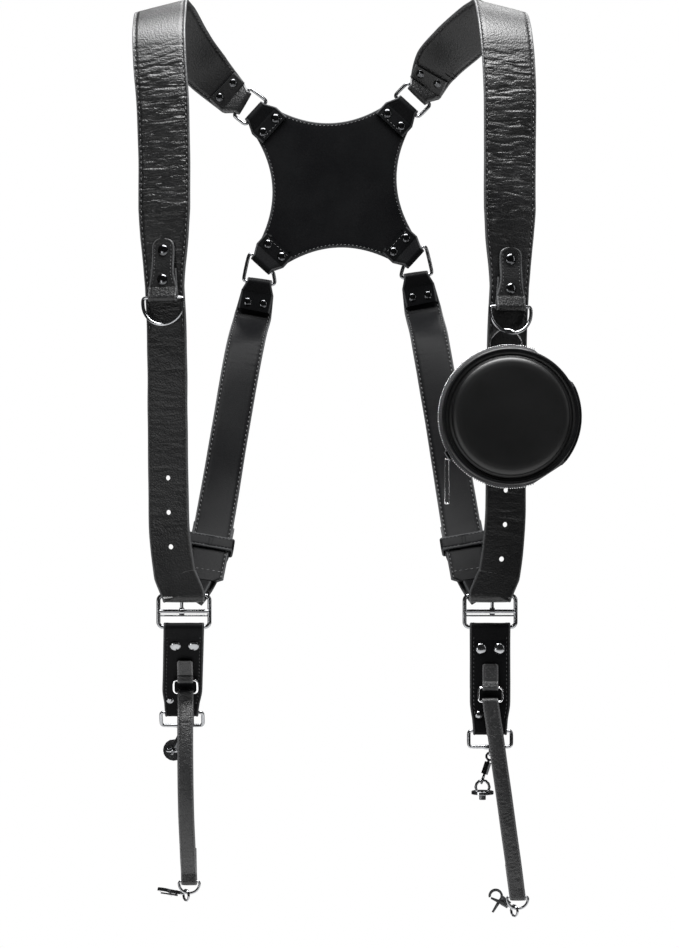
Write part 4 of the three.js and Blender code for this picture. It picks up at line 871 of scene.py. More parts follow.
@dataclass(frozen=True)
class LeatherFinish:
    """Dyed leather with grain and creases, with painted shade in the creases and seam grooves and a painted highlight
    on the rims.
    """

    name: str
    dark: tuple[float, float, float]
    worn: tuple[float, float, float]
    # Rim colour: a painted highlight on the rounded edges.
    rim: tuple[float, float, float]
    roughness: float
    grain: float
    depth: float
    crease: float
    gloss: float = 0.4

    def make(self) -> bpy.types.Material:
        """Builds the material."""
        shader = Shader(self.name)
        place = shader.place()
        pores = shader.cells(place, self.grain)
        fine = shader.noise(place, self.grain * 0.55, 5.0, 0.6)
        broad = shader.noise(place, 22.0, 3.0)
        rolling = shader.noise(shader.stretched(place, (0.22, 0.22, 1.0)), 72.0, 2.0, 0.5)
        folds = shader.levels(rolling, ((0.42, 0.0), (0.48, 0.8), (0.5, 1.0), (0.52, 0.8), (0.58, 0.0)))
        lines = shader.noise(shader.stretched(place, (0.3, 0.3, 1.2)), 165.0, 2.0, 0.5)
        lines = shader.levels(lines, ((0.46, 0.0), (0.5, 1.0), (0.54, 0.0)))
        worked = shader.mark("worked") * self.crease
        creases = (folds * 0.85 + lines * 0.2) * worked
        height = pores * 0.3 + fine * 0.3 - creases
        shader.bump(height, self.depth, 0.9)
        rim = shader.mark("rim")
        seam = shader.mark("seam")
        wear = shader.levels(broad * 0.6 + fine * 0.4, ((0.38, 0.0), (0.66, 1.0)))
        colour = shader.blend(wear, self.dark, self.worn)
        # Painted shade: the colour is darkened to near black in the creases, where shade falls.
        colour = shader.blend(creases * 0.6, colour, (0.002, 0.002, 0.002))
        # Painted highlight: the rims are lightened towards the rim colour.
        colour = shader.blend(rim * 0.8, colour, self.rim)
        # Painted shade: the seam grooves are darkened to near black.
        colour = shader.blend(seam * 0.85, colour, (0.001, 0.001, 0.001))
        rough = self.roughness + (broad - 0.5) * 0.16 + (pores - 0.4) * 0.1 - rim * 0.1
        shader.set(Base_Color=colour, Roughness=rough, Specular_IOR_Level=self.gloss)
        return shader.material


@dataclass(frozen=True)
class ThreadFinish:
    """Waxed black thread."""

    name: str = "waxed_thread"
    dark: tuple[float, float, float] = (0.016, 0.016, 0.017)
    light: tuple[float, float, float] = (0.08, 0.08, 0.083)

    def make(self) -> bpy.types.Material:
        """Builds the material."""
        shader = Shader(self.name)
        place = shader.place()
        strand = shader.noise(place, 2600.0, 2.0)
        shader.bump(strand, 0.00012, 0.5)
        shader.set(Base_Color=shader.blend(strand, self.dark, self.light), Roughness=0.38 + strand * 0.15)
        return shader.material


@dataclass(frozen=True)
class MetalFinish:
    """Plated metal with faint polishing marks and dull spots."""

    name: str
    dark: tuple[float, float, float]
    light: tuple[float, float, float]
    roughness: float

    def make(self) -> bpy.types.Material:
        """Builds the material."""
        shader = Shader(self.name)
        place = shader.place()
        cloud = shader.noise(place, 240.0, 4.0)
        brush = shader.noise(shader.stretched(place, (1.0, 1.0, 0.12)), 2400.0, 3.0)
        shader.bump(brush, 0.00004, 0.25)
        shader.set(
            Base_Color=shader.blend(cloud, self.dark, self.light),
            Roughness=self.roughness + (cloud - 0.5) * 0.14 + (brush - 0.5) * 0.06,
            Metallic=1.0,
        )
        return shader.material


@dataclass(frozen=True)
class ZipTapeFinish:
    """Woven tape of a zip."""

    name: str = "zip_tape"
    dark: tuple[float, float, float] = (0.008, 0.008, 0.009)
    light: tuple[float, float, float] = (0.035, 0.035, 0.038)

    def make(self) -> bpy.types.Material:
        """Builds the material."""
        shader = Shader(self.name)
        place = shader.place("UV")
        settings = {"wave_type": "BANDS", "bands_direction": "DIAGONAL"}
        rib = shader.out(shader.node("ShaderNodeTexWave", settings, {"Vector": place, "Scale": 260.0}), 1)
        fuzz = shader.noise(shader.place(), 1800.0, 3.0)
        height = rib * 0.7 + fuzz * 0.3
        shader.bump(height, 0.00025, 0.6)
        shader.set(Base_Color=shader.blend(height, self.dark, self.light), Roughness=0.72 + fuzz * 0.15)
        return shader.material


class Finish(Enum):
    """Finishes of this harness."""

    # The third colour of each leather is its rim colour, a painted highlight on the rounded edges.
    PEBBLED = LeatherFinish(
        "pebbled_leather", (0.0026, 0.0027, 0.003), (0.0062, 0.0064, 0.0068), (0.085, 0.086, 0.088),
        roughness=0.4, grain=640.0, depth=0.0008, crease=1.0,
    )
    SMOOTH = LeatherFinish(
        "smooth_leather", (0.0036, 0.0037, 0.0041), (0.0062, 0.0064, 0.0068), (0.06, 0.061, 0.063),
        roughness=0.42, grain=1300.0, depth=0.0003, crease=0.3, gloss=0.03,
    )
    TETHER = LeatherFinish(
        "soft_leather", (0.0085, 0.0087, 0.0092), (0.02, 0.0203, 0.021), (0.09, 0.09, 0.092),
        roughness=0.36, grain=950.0, depth=0.001, crease=1.0,
    )
    POUCH = LeatherFinish(
        "pouch_skin", (0.001, 0.0011, 0.0012), (0.0016, 0.0017, 0.0019), (0.02, 0.02, 0.021),
        roughness=0.4, grain=1900.0, depth=0.00012, crease=0.2,
    )
    THREAD = ThreadFinish()
    NICKEL = MetalFinish("dark_nickel", (0.2, 0.204, 0.212), (0.36, 0.365, 0.375), 0.17)
    GUNMETAL = MetalFinish("gunmetal_dome", (0.05, 0.051, 0.054), (0.11, 0.112, 0.116), 0.16)
    BRIGHT = MetalFinish("bright_split_ring", (0.62, 0.625, 0.635), (0.8, 0.8, 0.81), 0.16)
    TAPE = ZipTapeFinish()


# ---- Pieces

WIRE_SLOT = "bright_wire"


class Workshop:
    """Turns meshes into pieces of the scene."""

    def __init__(self, nodes: dict[str, bpy.types.Object]) -> None:
        """Keeps the CAD nodes and an empty store of materials."""
        self.nodes = nodes
        self.materials: dict[Finish, bpy.types.Material] = {}

    def material(self, finish: Finish) -> bpy.types.Material:
        """The material of a finish, made once."""
        if finish not in self.materials:
            self.materials[finish] = finish.value.make()
        return self.materials[finish]

    def piece(self, name: str, bm: bmesh.types.BMesh, finish: Finish, slot: str, replaced: Sequence[str] = (),
              body: str = "harness", scaled: bool = True) -> bpy.types.Object:
        """Makes a piece from a mesh.

        Args:
            name: of the piece.
            bm: its mesh, which is freed.
            finish: its finish.
            slot: the record's material slot; not used.
            replaced: CAD nodes that it stands for.
            body: CAD body that it rides on.
            scaled: whether the mesh is in millimetres from the chest plane.

        Returns:
            The piece.
        """
        if scaled:
            to_frame(bm)
        bmesh.ops.recalc_face_normals(bm, faces=bm.faces)
        for face in bm.faces:
            face.smooth = True
        obj = meshed(name, bm)
        obj.data.materials.append(self.material(finish))
        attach(obj, body)
        if replaced:
            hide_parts(*replaced)
        log.info("%s: %d faces", name, len(obj.data.polygons))
        return obj

    def leather(self, node: str, bm: bmesh.types.BMesh, finish: Finish, slot: str = "leather",
                body: str = "harness") -> bpy.types.Object:
        """Makes the piece that stands for a node of leather."""
        return self.piece(f"{node}_leather", bm, finish, slot, [node], body)

    def sew(self, name: str, slot: str, rows: Iterable[tuple[Sequence[tuple[Vector, Vector]], Thread]],
            hang: Matrix | None = None) -> None:
        """Makes a piece of stitches.

        Args:
            name: of what is sewn.
            slot: the record's slot of what is sewn.
            rows: (path, thread) pairs.
            hang: the frame that the paths are in, if it isn't the harness's own.
        """
        bm = new_bmesh()
        for path, thread in rows:
            stitch_path(bm, path, thread)
        if hang is not None:
            bmesh.ops.transform(bm, matrix=hang, verts=bm.verts)
        self.piece(f"{name}_stitches", bm, Finish.THREAD, slot)

    def copy_of(self, node: str) -> bmesh.types.BMesh:
        """A merged copy of a CAD node's mesh, its triangles joined to quads where they are flat."""
        bm = new_bmesh()
        bm.from_mesh(self.nodes[node].data)
        bmesh.ops.remove_doubles(bm, verts=bm.verts, dist=2e-6)
        bmesh.ops.join_triangles(bm, faces=bm.faces, angle_face_threshold=rad(25), angle_shape_threshold=rad(70))
        for name in MARKS:
            if name not in bm.verts.layers.float:
                bm.verts.layers.float.new(name)
        return bm

    def rounded_copy(self, node: str, finish: Finish, fatten: float, body: str = "harness") -> None:
        """Makes a piece with the form of a CAD wire, made round.

        Args:
            node: the CAD node.
            finish: its finish.
            fatten: millimetres that the faceted wire grows by before it is rounded.
            body: the body that it rides on.
        """
        bm = self.copy_of(node)
        bm.normal_update()
        moves = {v: v.normal * fatten * MM for v in bm.verts}
        for v, move in moves.items():
            v.co += move
        obj = self.piece(f"{node}_wire", bm, finish, WIRE_SLOT, [node], body, scaled=False)
        rounder = obj.modifiers.new("round", "SUBSURF")
        rounder.levels = rounder.render_levels = 2

    def bevelled_copy(self, node: str, finish: Finish, width: float, body: str = "harness") -> None:
        """Makes a piece with the form of a CAD solid whose sharp edges are eased by a width in millimetres."""
        bm = self.copy_of(node)
        bmesh.ops.dissolve_limit(
            bm, angle_limit=rad(2), verts=bm.verts, edges=bm.edges, use_dissolve_boundaries=False,
        )
        sharp = [e for e in bm.edges if len(e.link_faces) == 2 and e.calc_face_angle(0) > rad(35)]
        bmesh.ops.bevel(
            bm, geom=sharp, offset=width * MM, offset_type="OFFSET", affect="EDGES", segments=2,
            profile=0.5, material=-1, clamp_overlap=True,
        )
        obj = self.piece(f"{node}_body", bm, finish, WIRE_SLOT, [node], body, scaled=False)
        obj.modifiers.new("even", "WEIGHTED_NORMAL").weight = 80


def dome(bm: bmesh.types.BMesh, seat: Vector, face: Vector, radius: float, height: float) -> None:
    """Adds a rivet's head: a dome with a turned rim, its flat side sunk slightly in the leather."""
    profile = [(0.0, height)]
    for k in range(1, 7):
        angle = k * math.pi / 14
        profile.append((radius * 0.94 * math.sin(angle) / math.sin(6 * math.pi / 14), height * math.cos(angle)))
    profile += [(radius, height * 0.12), (radius * 0.98, -0.15), (0.0, -0.2)]
    lathe(bm, profile, seat, face, 24)


def dome_pair(bm: bmesh.types.BMesh, centre: Vector, w: Vector, apart: float, face: Vector,
              size: tuple[float, float]) -> None:
    """Adds two rivet heads of a radius and height, one on each side of a centre."""
    for hand in (1, -1):
        dome(bm, along(centre, (w, hand * apart)), face, *size)


# ---- Places shared by the sub-assemblies


@dataclass(frozen=True)
class Corner:
    """A corner of the back plate with its ring's bars."""

    side: Side
    vertical: int

    @property
    def right(self) -> Vector:
        """The plate's level direction."""
        return Vector((math.cos(rad(S.plate_lean)), 0.0, math.sin(rad(S.plate_lean))))

    @property
    def upward(self) -> Vector:
        """The plate's upward direction."""
        return Vector((-math.sin(rad(S.plate_lean)), 0.0, math.cos(rad(S.plate_lean))))

    @property
    def centre(self) -> Vector:
        """The plate's centre."""
        return Vector((S.plate_shift, S.torso_depth, -S.plate_drop))

    @property
    def diagonal(self) -> Vector:
        """Direction of the arm."""
        return (self.right * self.side.sign + self.upward * self.vertical).normalized()

    @property
    def bar(self) -> Bar:
        """The ring's bar in the plate's loop."""
        loop = S.back_wire + FIT + S.plate / 2
        centre = along(self.centre, (self.diagonal, S.arm_reach), (FRONT, loop))
        return Bar(centre, self.diagonal.cross(BACK).normalized())

    @property
    def strap_bar(self) -> Bar:
        """The ring's bar in the strap's loop."""
        side = self.side
        if self.vertical > 0:
            lean = rad((45 + side.rear_rise) / 2)
            step = side.outward * math.cos(lean) + UP * math.sin(lean)
            return Bar(along(self.bar.centre, (step, S.upper_gap)), side.across(0, 90 - side.rear_rise))
        lean, tilt = rad(S.lower_lean), rad(S.lower_tilt)
        step = side.outward * math.sin(lean) + DOWN * math.cos(lean)
        return Bar(
            along(self.bar.centre, (step, S.lower_gap)), side.outward * -math.cos(tilt) + DOWN * math.sin(tilt)
        )


def buckle_bar(side: Side, drop: float) -> Bar:
    """A level bar of the hip buckle, at a drop under its top one."""
    return Bar(Vector((side.sign * S.buckle_out, FOLD_RADIUS, -S.buckle_drop - drop)), side.across(0, 0))


def side_place(side: Side, start: Bar, row: Sequence[float]) -> Station:
    """A station of the side strap from its row."""
    bar = buckle_bar(side, 0)
    drop, depth, out, turn = row
    place = Vector((
        mix(start.centre.x, bar.centre.x, out),
        mix(start.centre.y, bar.centre.y, depth),
        mix(start.centre.z, bar.centre.z, drop),
    ))
    return Station(place, side.across(turn, 0), S.side_width)


def front_place(side: Side, row: Sequence[float]) -> Station:
    """A station of the chest stretch from its row."""
    drop, depth, out, width, turn, roll = row
    middle = side.sign * mix(S.buckle_out, S.shoulder_out, out)
    shift = S.crest_shift * max(0.0, 1 - drop / S.shift_fade)
    place = Vector((middle + shift, S.crest_depth * depth, S.strap / 2 - S.buckle_drop * drop))
    across = side.across(S.tab_turn * turn, S.crest_roll * roll)
    return Station(place, across, mix(S.lower_width, S.strap_width, width))


def front_stations(side: Side, per_span: int) -> list[Station]:
    """The chest stretch from the crest to the buckle."""
    return smooth([front_place(side, row) for row in FRONT_RUN], per_span)


def front_at(side: Side, drop: float) -> tuple[Vector, Vector, Vector, Vector]:
    """Centre, width direction, tangent and outward normal at a drop under the crest."""
    stations = [s for s in front_stations(side, 2) if s.p.y < S.crest_depth * 0.5]
    after = next(i for i, s in enumerate(stations) if s.p.z < -drop)
    a, b = stations[after - 1], stations[after]
    share = (-drop - a.p.z) / (b.p.z - a.p.z)
    w = a.w.lerp(b.w, share).normalized()
    tangent = (b.p - a.p).normalized()
    normal = tangent.cross(w).normalized()
    if normal.y > 0:
        normal.negate()
    return a.p.lerp(b.p, share), w, tangent, normal


def side_frame(start: Vector, stop: Vector, w: Vector) -> tuple[Vector, Vector]:
    """Tangent and rearward normal of the side strap between two places."""
    tangent = (stop - start).normalized()
    normal = tangent.cross(w).normalized()
    if normal.y < 0:
        normal.negate()
    return tangent, normal


TAIL_OFFSET = S.side_strap / 2 + S.chape + FIT + S.strap / 2
BROAD_HEAD = (4.2, 1.6)


@dataclass
class HipFrames:
    """Places on the side strap that the keeper and the tail take."""

    side: Side

    def __post_init__(self) -> None:
        """Works out the places."""
        bar = Corner(self.side, -1).strap_bar
        self.above = side_place(self.side, bar, SIDE_RUN[-1])
        self.keeper = side_place(self.side, bar, KEEPER_PLACE)
        self.end = side_place(self.side, bar, SIDE_END)
        self.keeper_tangent, self.keeper_normal = side_frame(self.above.p, self.end.p, self.keeper.w)
        self.end_tangent, self.end_normal = side_frame(self.keeper.p, self.end.p, self.end.w)


# ---- Sub-assemblies


@dataclass
class ShoulderStrap:
    """Wide strap from a back ring over the shoulder, down the chest and round the hip buckle."""

    side: Side
    shop: Workshop
    groove: float = 0.45
    margin: float = 3.0

    def rear(self) -> tuple[list[Station], list[Station]]:
        """The flap and its half turn round the ring, and the run up to the crest."""
        side = self.side
        bar = Corner(side, 1).strap_bar
        rise = rad(side.rear_rise)
        away = side.outward * math.cos(rise) + UP * math.sin(rise)
        widths = (S.rear_width, S.rear_width, S.loop_width)
        loop = folded_end(bar, away, FRONT, S.back_wire, S.strap, widths, S.flap)
        last = loop[-1]
        crest = front_place(side, FRONT_RUN[0])
        rows = []
        for drop, depth, out, width, roll, bulge in REAR_RUN:
            place = Vector((
                mix(last.p.x, crest.p.x, out) + side.sign * side.rear_bulge * bulge,
                mix(last.p.y, crest.p.y, depth),
                mix(last.p.z, crest.p.z, drop),
            ))
            turn = mix(90 - side.rear_rise, S.crest_roll, roll)
            rows.append(Station(place, side.across(0, turn), mix(S.rear_width, S.strap_width, width)))
        run = smooth([last, *rows, crest], 16)
        layer = Strip(run, S.strap)
        reach = S.flap - (last.p - bar.centre).length

        def flap(distance: float) -> Station:
            """A place on the flap, in front of the main layer."""
            p, _, w, n, _ = layer.at(distance)
            return Station(along(p, (n if n.y < 0 else -n, S.strap + FIT)), w, S.rear_width)

        return [flap(reach * share) for share in (1, 0.8, 0.6, 0.4, 0.2, 0.05)] + loop[3:-1], run

    def tail(self) -> list[Station]:
        """The fold round the buckle's bar and the end that goes up behind, through the keeper."""
        bar = buckle_bar(self.side, 0)
        hips = HipFrames(self.side)
        fold = wrap(bar, UP, FRONT, FOLD_RADIUS, S.lower_width, 18)
        slide = (bar.centre.x - hips.end.p.x) * S.tail_slide

        def past(distance: float) -> Vector:
            """A place behind the side strap, past the keeper's middle."""
            return along(hips.keeper.p, (hips.keeper_normal, TAIL_OFFSET), (hips.keeper_tangent, distance))

        first = along(hips.end.p, (hips.end_normal, TAIL_OFFSET + S.tail_lift), (X, slide))
        rows = [
            Station(first, hips.end.w, S.lower_width),
            Station(past(S.keeper_width * 0.6), hips.keeper.w, S.lower_width),
            Station(past(-S.keeper_width * 0.6), hips.keeper.w, S.lower_width),
            Station(past(-S.tail_overrun), hips.above.w, S.lower_width),
        ]
        rise = smooth([fold[-1], *rows[:2]], 12)[1:]
        return [*fold, *rise, *rows[2:]]

    def worked(self, distance: float, crest_at: float, tab_at: float, fold_at: float) -> float:
        """How much use has creased the leather at a distance."""
        chest = ramp(distance, crest_at + 82, crest_at + 108) * (1 - 0.7 * ramp(distance, tab_at - 60, tab_at + 30))
        return chest * (1 - ramp(distance, fold_at - 50, fold_at - 20))

    def wrinkles(self, crest_at: float, tab_at: float, fold_at: float) -> Relief:
        """Creases that pressing and wear have left across the chest stretch."""
        seed = 7.0 * self.side.sign

        def relief(distance: float, x: float, face: bool) -> float:
            """Height at a place on the strap."""
            weight = 0.05 + 0.95 * self.worked(distance, crest_at, tab_at, fold_at)
            drift = 5.0 * noise.noise(Vector((x * 0.045, distance * 0.02, seed + 9)))
            wave = abs(noise.noise(Vector((x * 0.022, (distance + drift) * 0.14, seed))))
            finer = abs(noise.noise(Vector((x * 0.06, (distance + drift) * 0.3, seed + 4))))
            patch = 0.4 + 1.1 * abs(noise.noise(Vector((x * 0.02, distance * 0.022, seed + 2))))
            height = -0.8 * (1 - ramp(wave, 0.0, 0.2)) - 0.22 * (1 - ramp(finer, 0.0, 0.2)) + 0.6 * wave
            return weight * patch * height * (1.0 if face else 0.35)

        return relief

    def build(self) -> None:
        """Makes the strap with its holes, its stitches and its rear rivets."""
        side = self.side
        loop, rear = self.rear()
        chest = front_stations(side, 12)
        strip = Strip([*loop, *rear[:-1], *chest, *self.tail()], S.strap, -side.sign, 1.05)
        runs = {}
        for mark, p, *_ in strip.places:
            for key, goal in (("crest", chest[0].p), ("fold", chest[-1].p), ("tab", front_at(side, S.tab_drop)[0])):
                gap = (p - goal).length
                if key not in runs or gap < runs[key][0]:
                    runs[key] = (gap, mark)
        crest_at, fold_at, tab_at = runs["crest"][1], runs["fold"][1], runs["tab"][1]
        seam_start = S.flap + 30.0
        seam_stop = tab_at + 78.0

        def groove(distance: float) -> float:
            """Depth of the seam's groove."""
            wide = ramp(distance, seam_start - 2, seam_start + 2) * (1 - ramp(distance, seam_stop - 2, seam_stop + 2))
            return self.groove * wide + 0.07

        bm = new_bmesh()
        strip_mesh(
            bm, strip, 0.25, 17, self.margin, self.wrinkles(crest_at, tab_at, fold_at), groove, 0.35,
            lambda distance: self.worked(distance, crest_at, tab_at, fold_at),
        )
        name = f"shoulder_strap_{side.name}"
        self.punch(self.shop.leather(name, bm, Finish.PEBBLED))
        paths = seam_rows(strip, seam_start, seam_stop, self.margin, faces=(1, -1), sink=0.3)
        self.shop.sew(name, "leather", [(path, STRAP_THREAD) for path in paths])
        self.rivets(loop)

    def rivets(self, loop: Sequence[Station]) -> None:
        """Makes the two domes on the flap at the ring."""
        tip = loop[0]
        inward = (loop[1].p - tip.p).normalized()
        face = inward.cross(tip.w).normalized()
        if face.y > 0:
            face.negate()
        bm = new_bmesh()
        dome_pair(bm, along(tip.p, (inward, 6.2), (face, S.strap / 2)), tip.w, 9.5, face, BROAD_HEAD)
        self.shop.piece(f"rear_rivets_{self.side.name}", bm, Finish.GUNMETAL, "dark_rivet")

    def punch(self, obj: bpy.types.Object) -> None:
        """Cuts the size holes."""
        bm = new_bmesh()
        for i in range(3):
            p, _, _, normal = front_at(self.side, S.buckle_drop - self.side.hole_start - i * S.hole_pitch)
            lathe(bm, [(0, 6), (S.hole_radius, 6), (S.hole_radius, -6), (0, -6)], p, normal, 20)
        to_frame(bm)
        bmesh.ops.recalc_face_normals(bm, faces=bm.faces)
        cutter = meshed("punch", bm)
        cut = obj.modifiers.new("holes", "BOOLEAN")
        cut.operation = "DIFFERENCE"
        cut.solver = "EXACT"
        cut.object = cutter
        bpy.context.view_layer.update()
        evaluated = obj.evaluated_get(bpy.context.evaluated_depsgraph_get())
        baked = bpy.data.meshes.new_from_object(evaluated)
        obj.modifiers.clear()
        obj.data = baked
        bpy.data.objects.remove(cutter)


@dataclass
class SideStrap:
    """Strap from a lower back ring down to the hip, with its end strap and keeper."""

    side: Side
    shop: Workshop
    margin: float = 2.6

    def build(self) -> None:
        """Makes the strap, its end strap, stitches, rivets and keeper."""
        side = self.side
        bar = Corner(side, -1).strap_bar
        away = (side.outward * 0.2 + DOWN).normalized()
        widths = (S.side_width * 0.86, S.side_width * 0.88, S.loop_width)
        top = folded_end(bar, away, FRONT, S.back_wire, S.side_strap, widths, S.flap)
        foot = Station(along(top[-1].p, (away, S.flap - 4)), bar.along, S.side_width)
        rows = [side_place(side, bar, row) for row in (*SIDE_RUN, KEEPER_PLACE, SIDE_END)]
        run = smooth([top[-1], foot, *rows], 14)
        hips = HipFrames(side)
        tip = Station(along(hips.end.p, (hips.end_tangent, 3)), hips.end.w, S.side_width * 0.72)
        strip = Strip([*top[:-1], *run, tip], S.side_strap, side.sign, 2.0)
        start, stop = S.flap + 34.0, strip.length - 2.0

        def groove(distance: float) -> float:
            """Depth of the seam's groove."""
            return 0.2 * ramp(distance, start - 2, start + 2) + 0.05

        def waves(distance: float, x: float, face: bool) -> float:
            """Shallow unevenness of the face."""
            return 0.12 * noise.noise(Vector((x * 0.06, distance * 0.03, 5.0 * side.sign)))

        bm = new_bmesh()
        strip_mesh(bm, strip, 0.2, 9, self.margin, waves, groove, 0.25)
        self.chape(bm, hips, tip)
        name = f"side_strap_{side.name}"
        self.shop.leather(name, bm, Finish.SMOOTH, "smooth_leather")
        paths = seam_rows(strip, start, stop, self.margin, faces=(1, -1), sink=0.1)
        p, _, w, n, width = strip.at(strip.length - 11)
        for face in (1, -1):
            paths.append(cross_row(p, w, n * face, width / 2 - self.margin, S.side_strap / 2 - 0.05))
        self.shop.sew(name, "smooth_leather", [(path, STRAP_THREAD) for path in paths])
        heads = new_bmesh()
        seat = along(top[0].p, (away, -7.5), (FRONT, S.side_strap / 2))
        dome_pair(heads, seat, top[0].w, 7.6, FRONT, (4.0, 1.5))
        self.shop.piece(f"side_rivets_{side.name}", heads, Finish.GUNMETAL, "dark_rivet")
        self.keeper(hips)

    def chape(self, bm: bmesh.types.BMesh, hips: HipFrames, tip: Station) -> None:
        """Adds the narrow end strap that goes round the buckle's top bar."""
        side = self.side
        bar = buckle_bar(side, 0)
        shift = -S.buckle_width / 2 + S.buckle_corner + FIT + S.chape_width / 2
        bar = Bar(along(bar.centre, (side.outward, shift)), bar.along)
        away = hips.end.p - bar.centre
        away.x = 0.0
        away.normalize()
        face = Vector((0.0, away.z, -away.y))
        if face.y > 0:
            face.negate()
        tangent, normal = hips.end_tangent, hips.end_normal
        sewn = S.side_strap / 2 + S.chape / 2 - 0.05
        width = S.chape_width
        stations = [
            Station(along(tip.p, (tangent, -6)), hips.end.w, width),
            Station(tip.p.copy(), hips.end.w, width),
            *wrap(bar, away, face, CHAPE_RADIUS, width),
            Station(along(tip.p, (normal, sewn)), hips.end.w, width),
            Station(along(tip.p, (normal, sewn), (tangent, -12)), hips.end.w, width),
        ]
        strip_mesh(bm, Strip(stations, S.chape, side.sign, 1.5), 0.0, 5, 1.6)

    def keeper(self, hips: HipFrames) -> None:
        """Makes the band round strap and tail, with its sewn joint."""
        width = max(S.side_width, S.lower_width) + 2 * SLIP
        stack = S.side_strap / 2 + TAIL_OFFSET + S.strap / 2
        height = stack + 2 * SLIP
        tangent, normal = hips.keeper_tangent, hips.keeper_normal
        square = normal.cross(tangent).normalized()
        centre = along(hips.keeper.p, (normal, stack / 2 - S.side_strap / 2))
        path = rounded_loop(centre, square, normal, (width + S.keeper) / 2, (height + S.keeper) / 2, 1.5, 4)
        middle = along(centre, (normal, -(height + S.keeper) / 2))
        stations = [Station(p, tangent, S.keeper_width) for p in (middle, *path, middle.copy())]
        strip = Strip(stations, S.keeper, 1, 1.4)
        first = strip.places[0]
        strip = strip.turned(first[4].dot(first[1] - centre) <= 0)

        def pinch(distance: float, x: float, face: bool) -> float:
            """Dip where the band's two ends meet."""
            near = min(distance, strip.length - distance)
            return -0.7 * (1 - ramp(near, 0.4, 1.8)) if face else 0.0

        bm = new_bmesh()
        strip_mesh(bm, strip, 0.25, 6, 1.9, pinch, lambda distance: 0.15)
        name = f"strap_keeper_{self.side.name}"
        self.shop.piece(f"{name}_band", bm, Finish.SMOOTH, "leather", [name])
        paths = seam_rows(strip, 3.0, strip.length - 3.0, 1.9)
        self.shop.sew(name, "leather", [(path, KEEPER_THREAD) for path in paths])


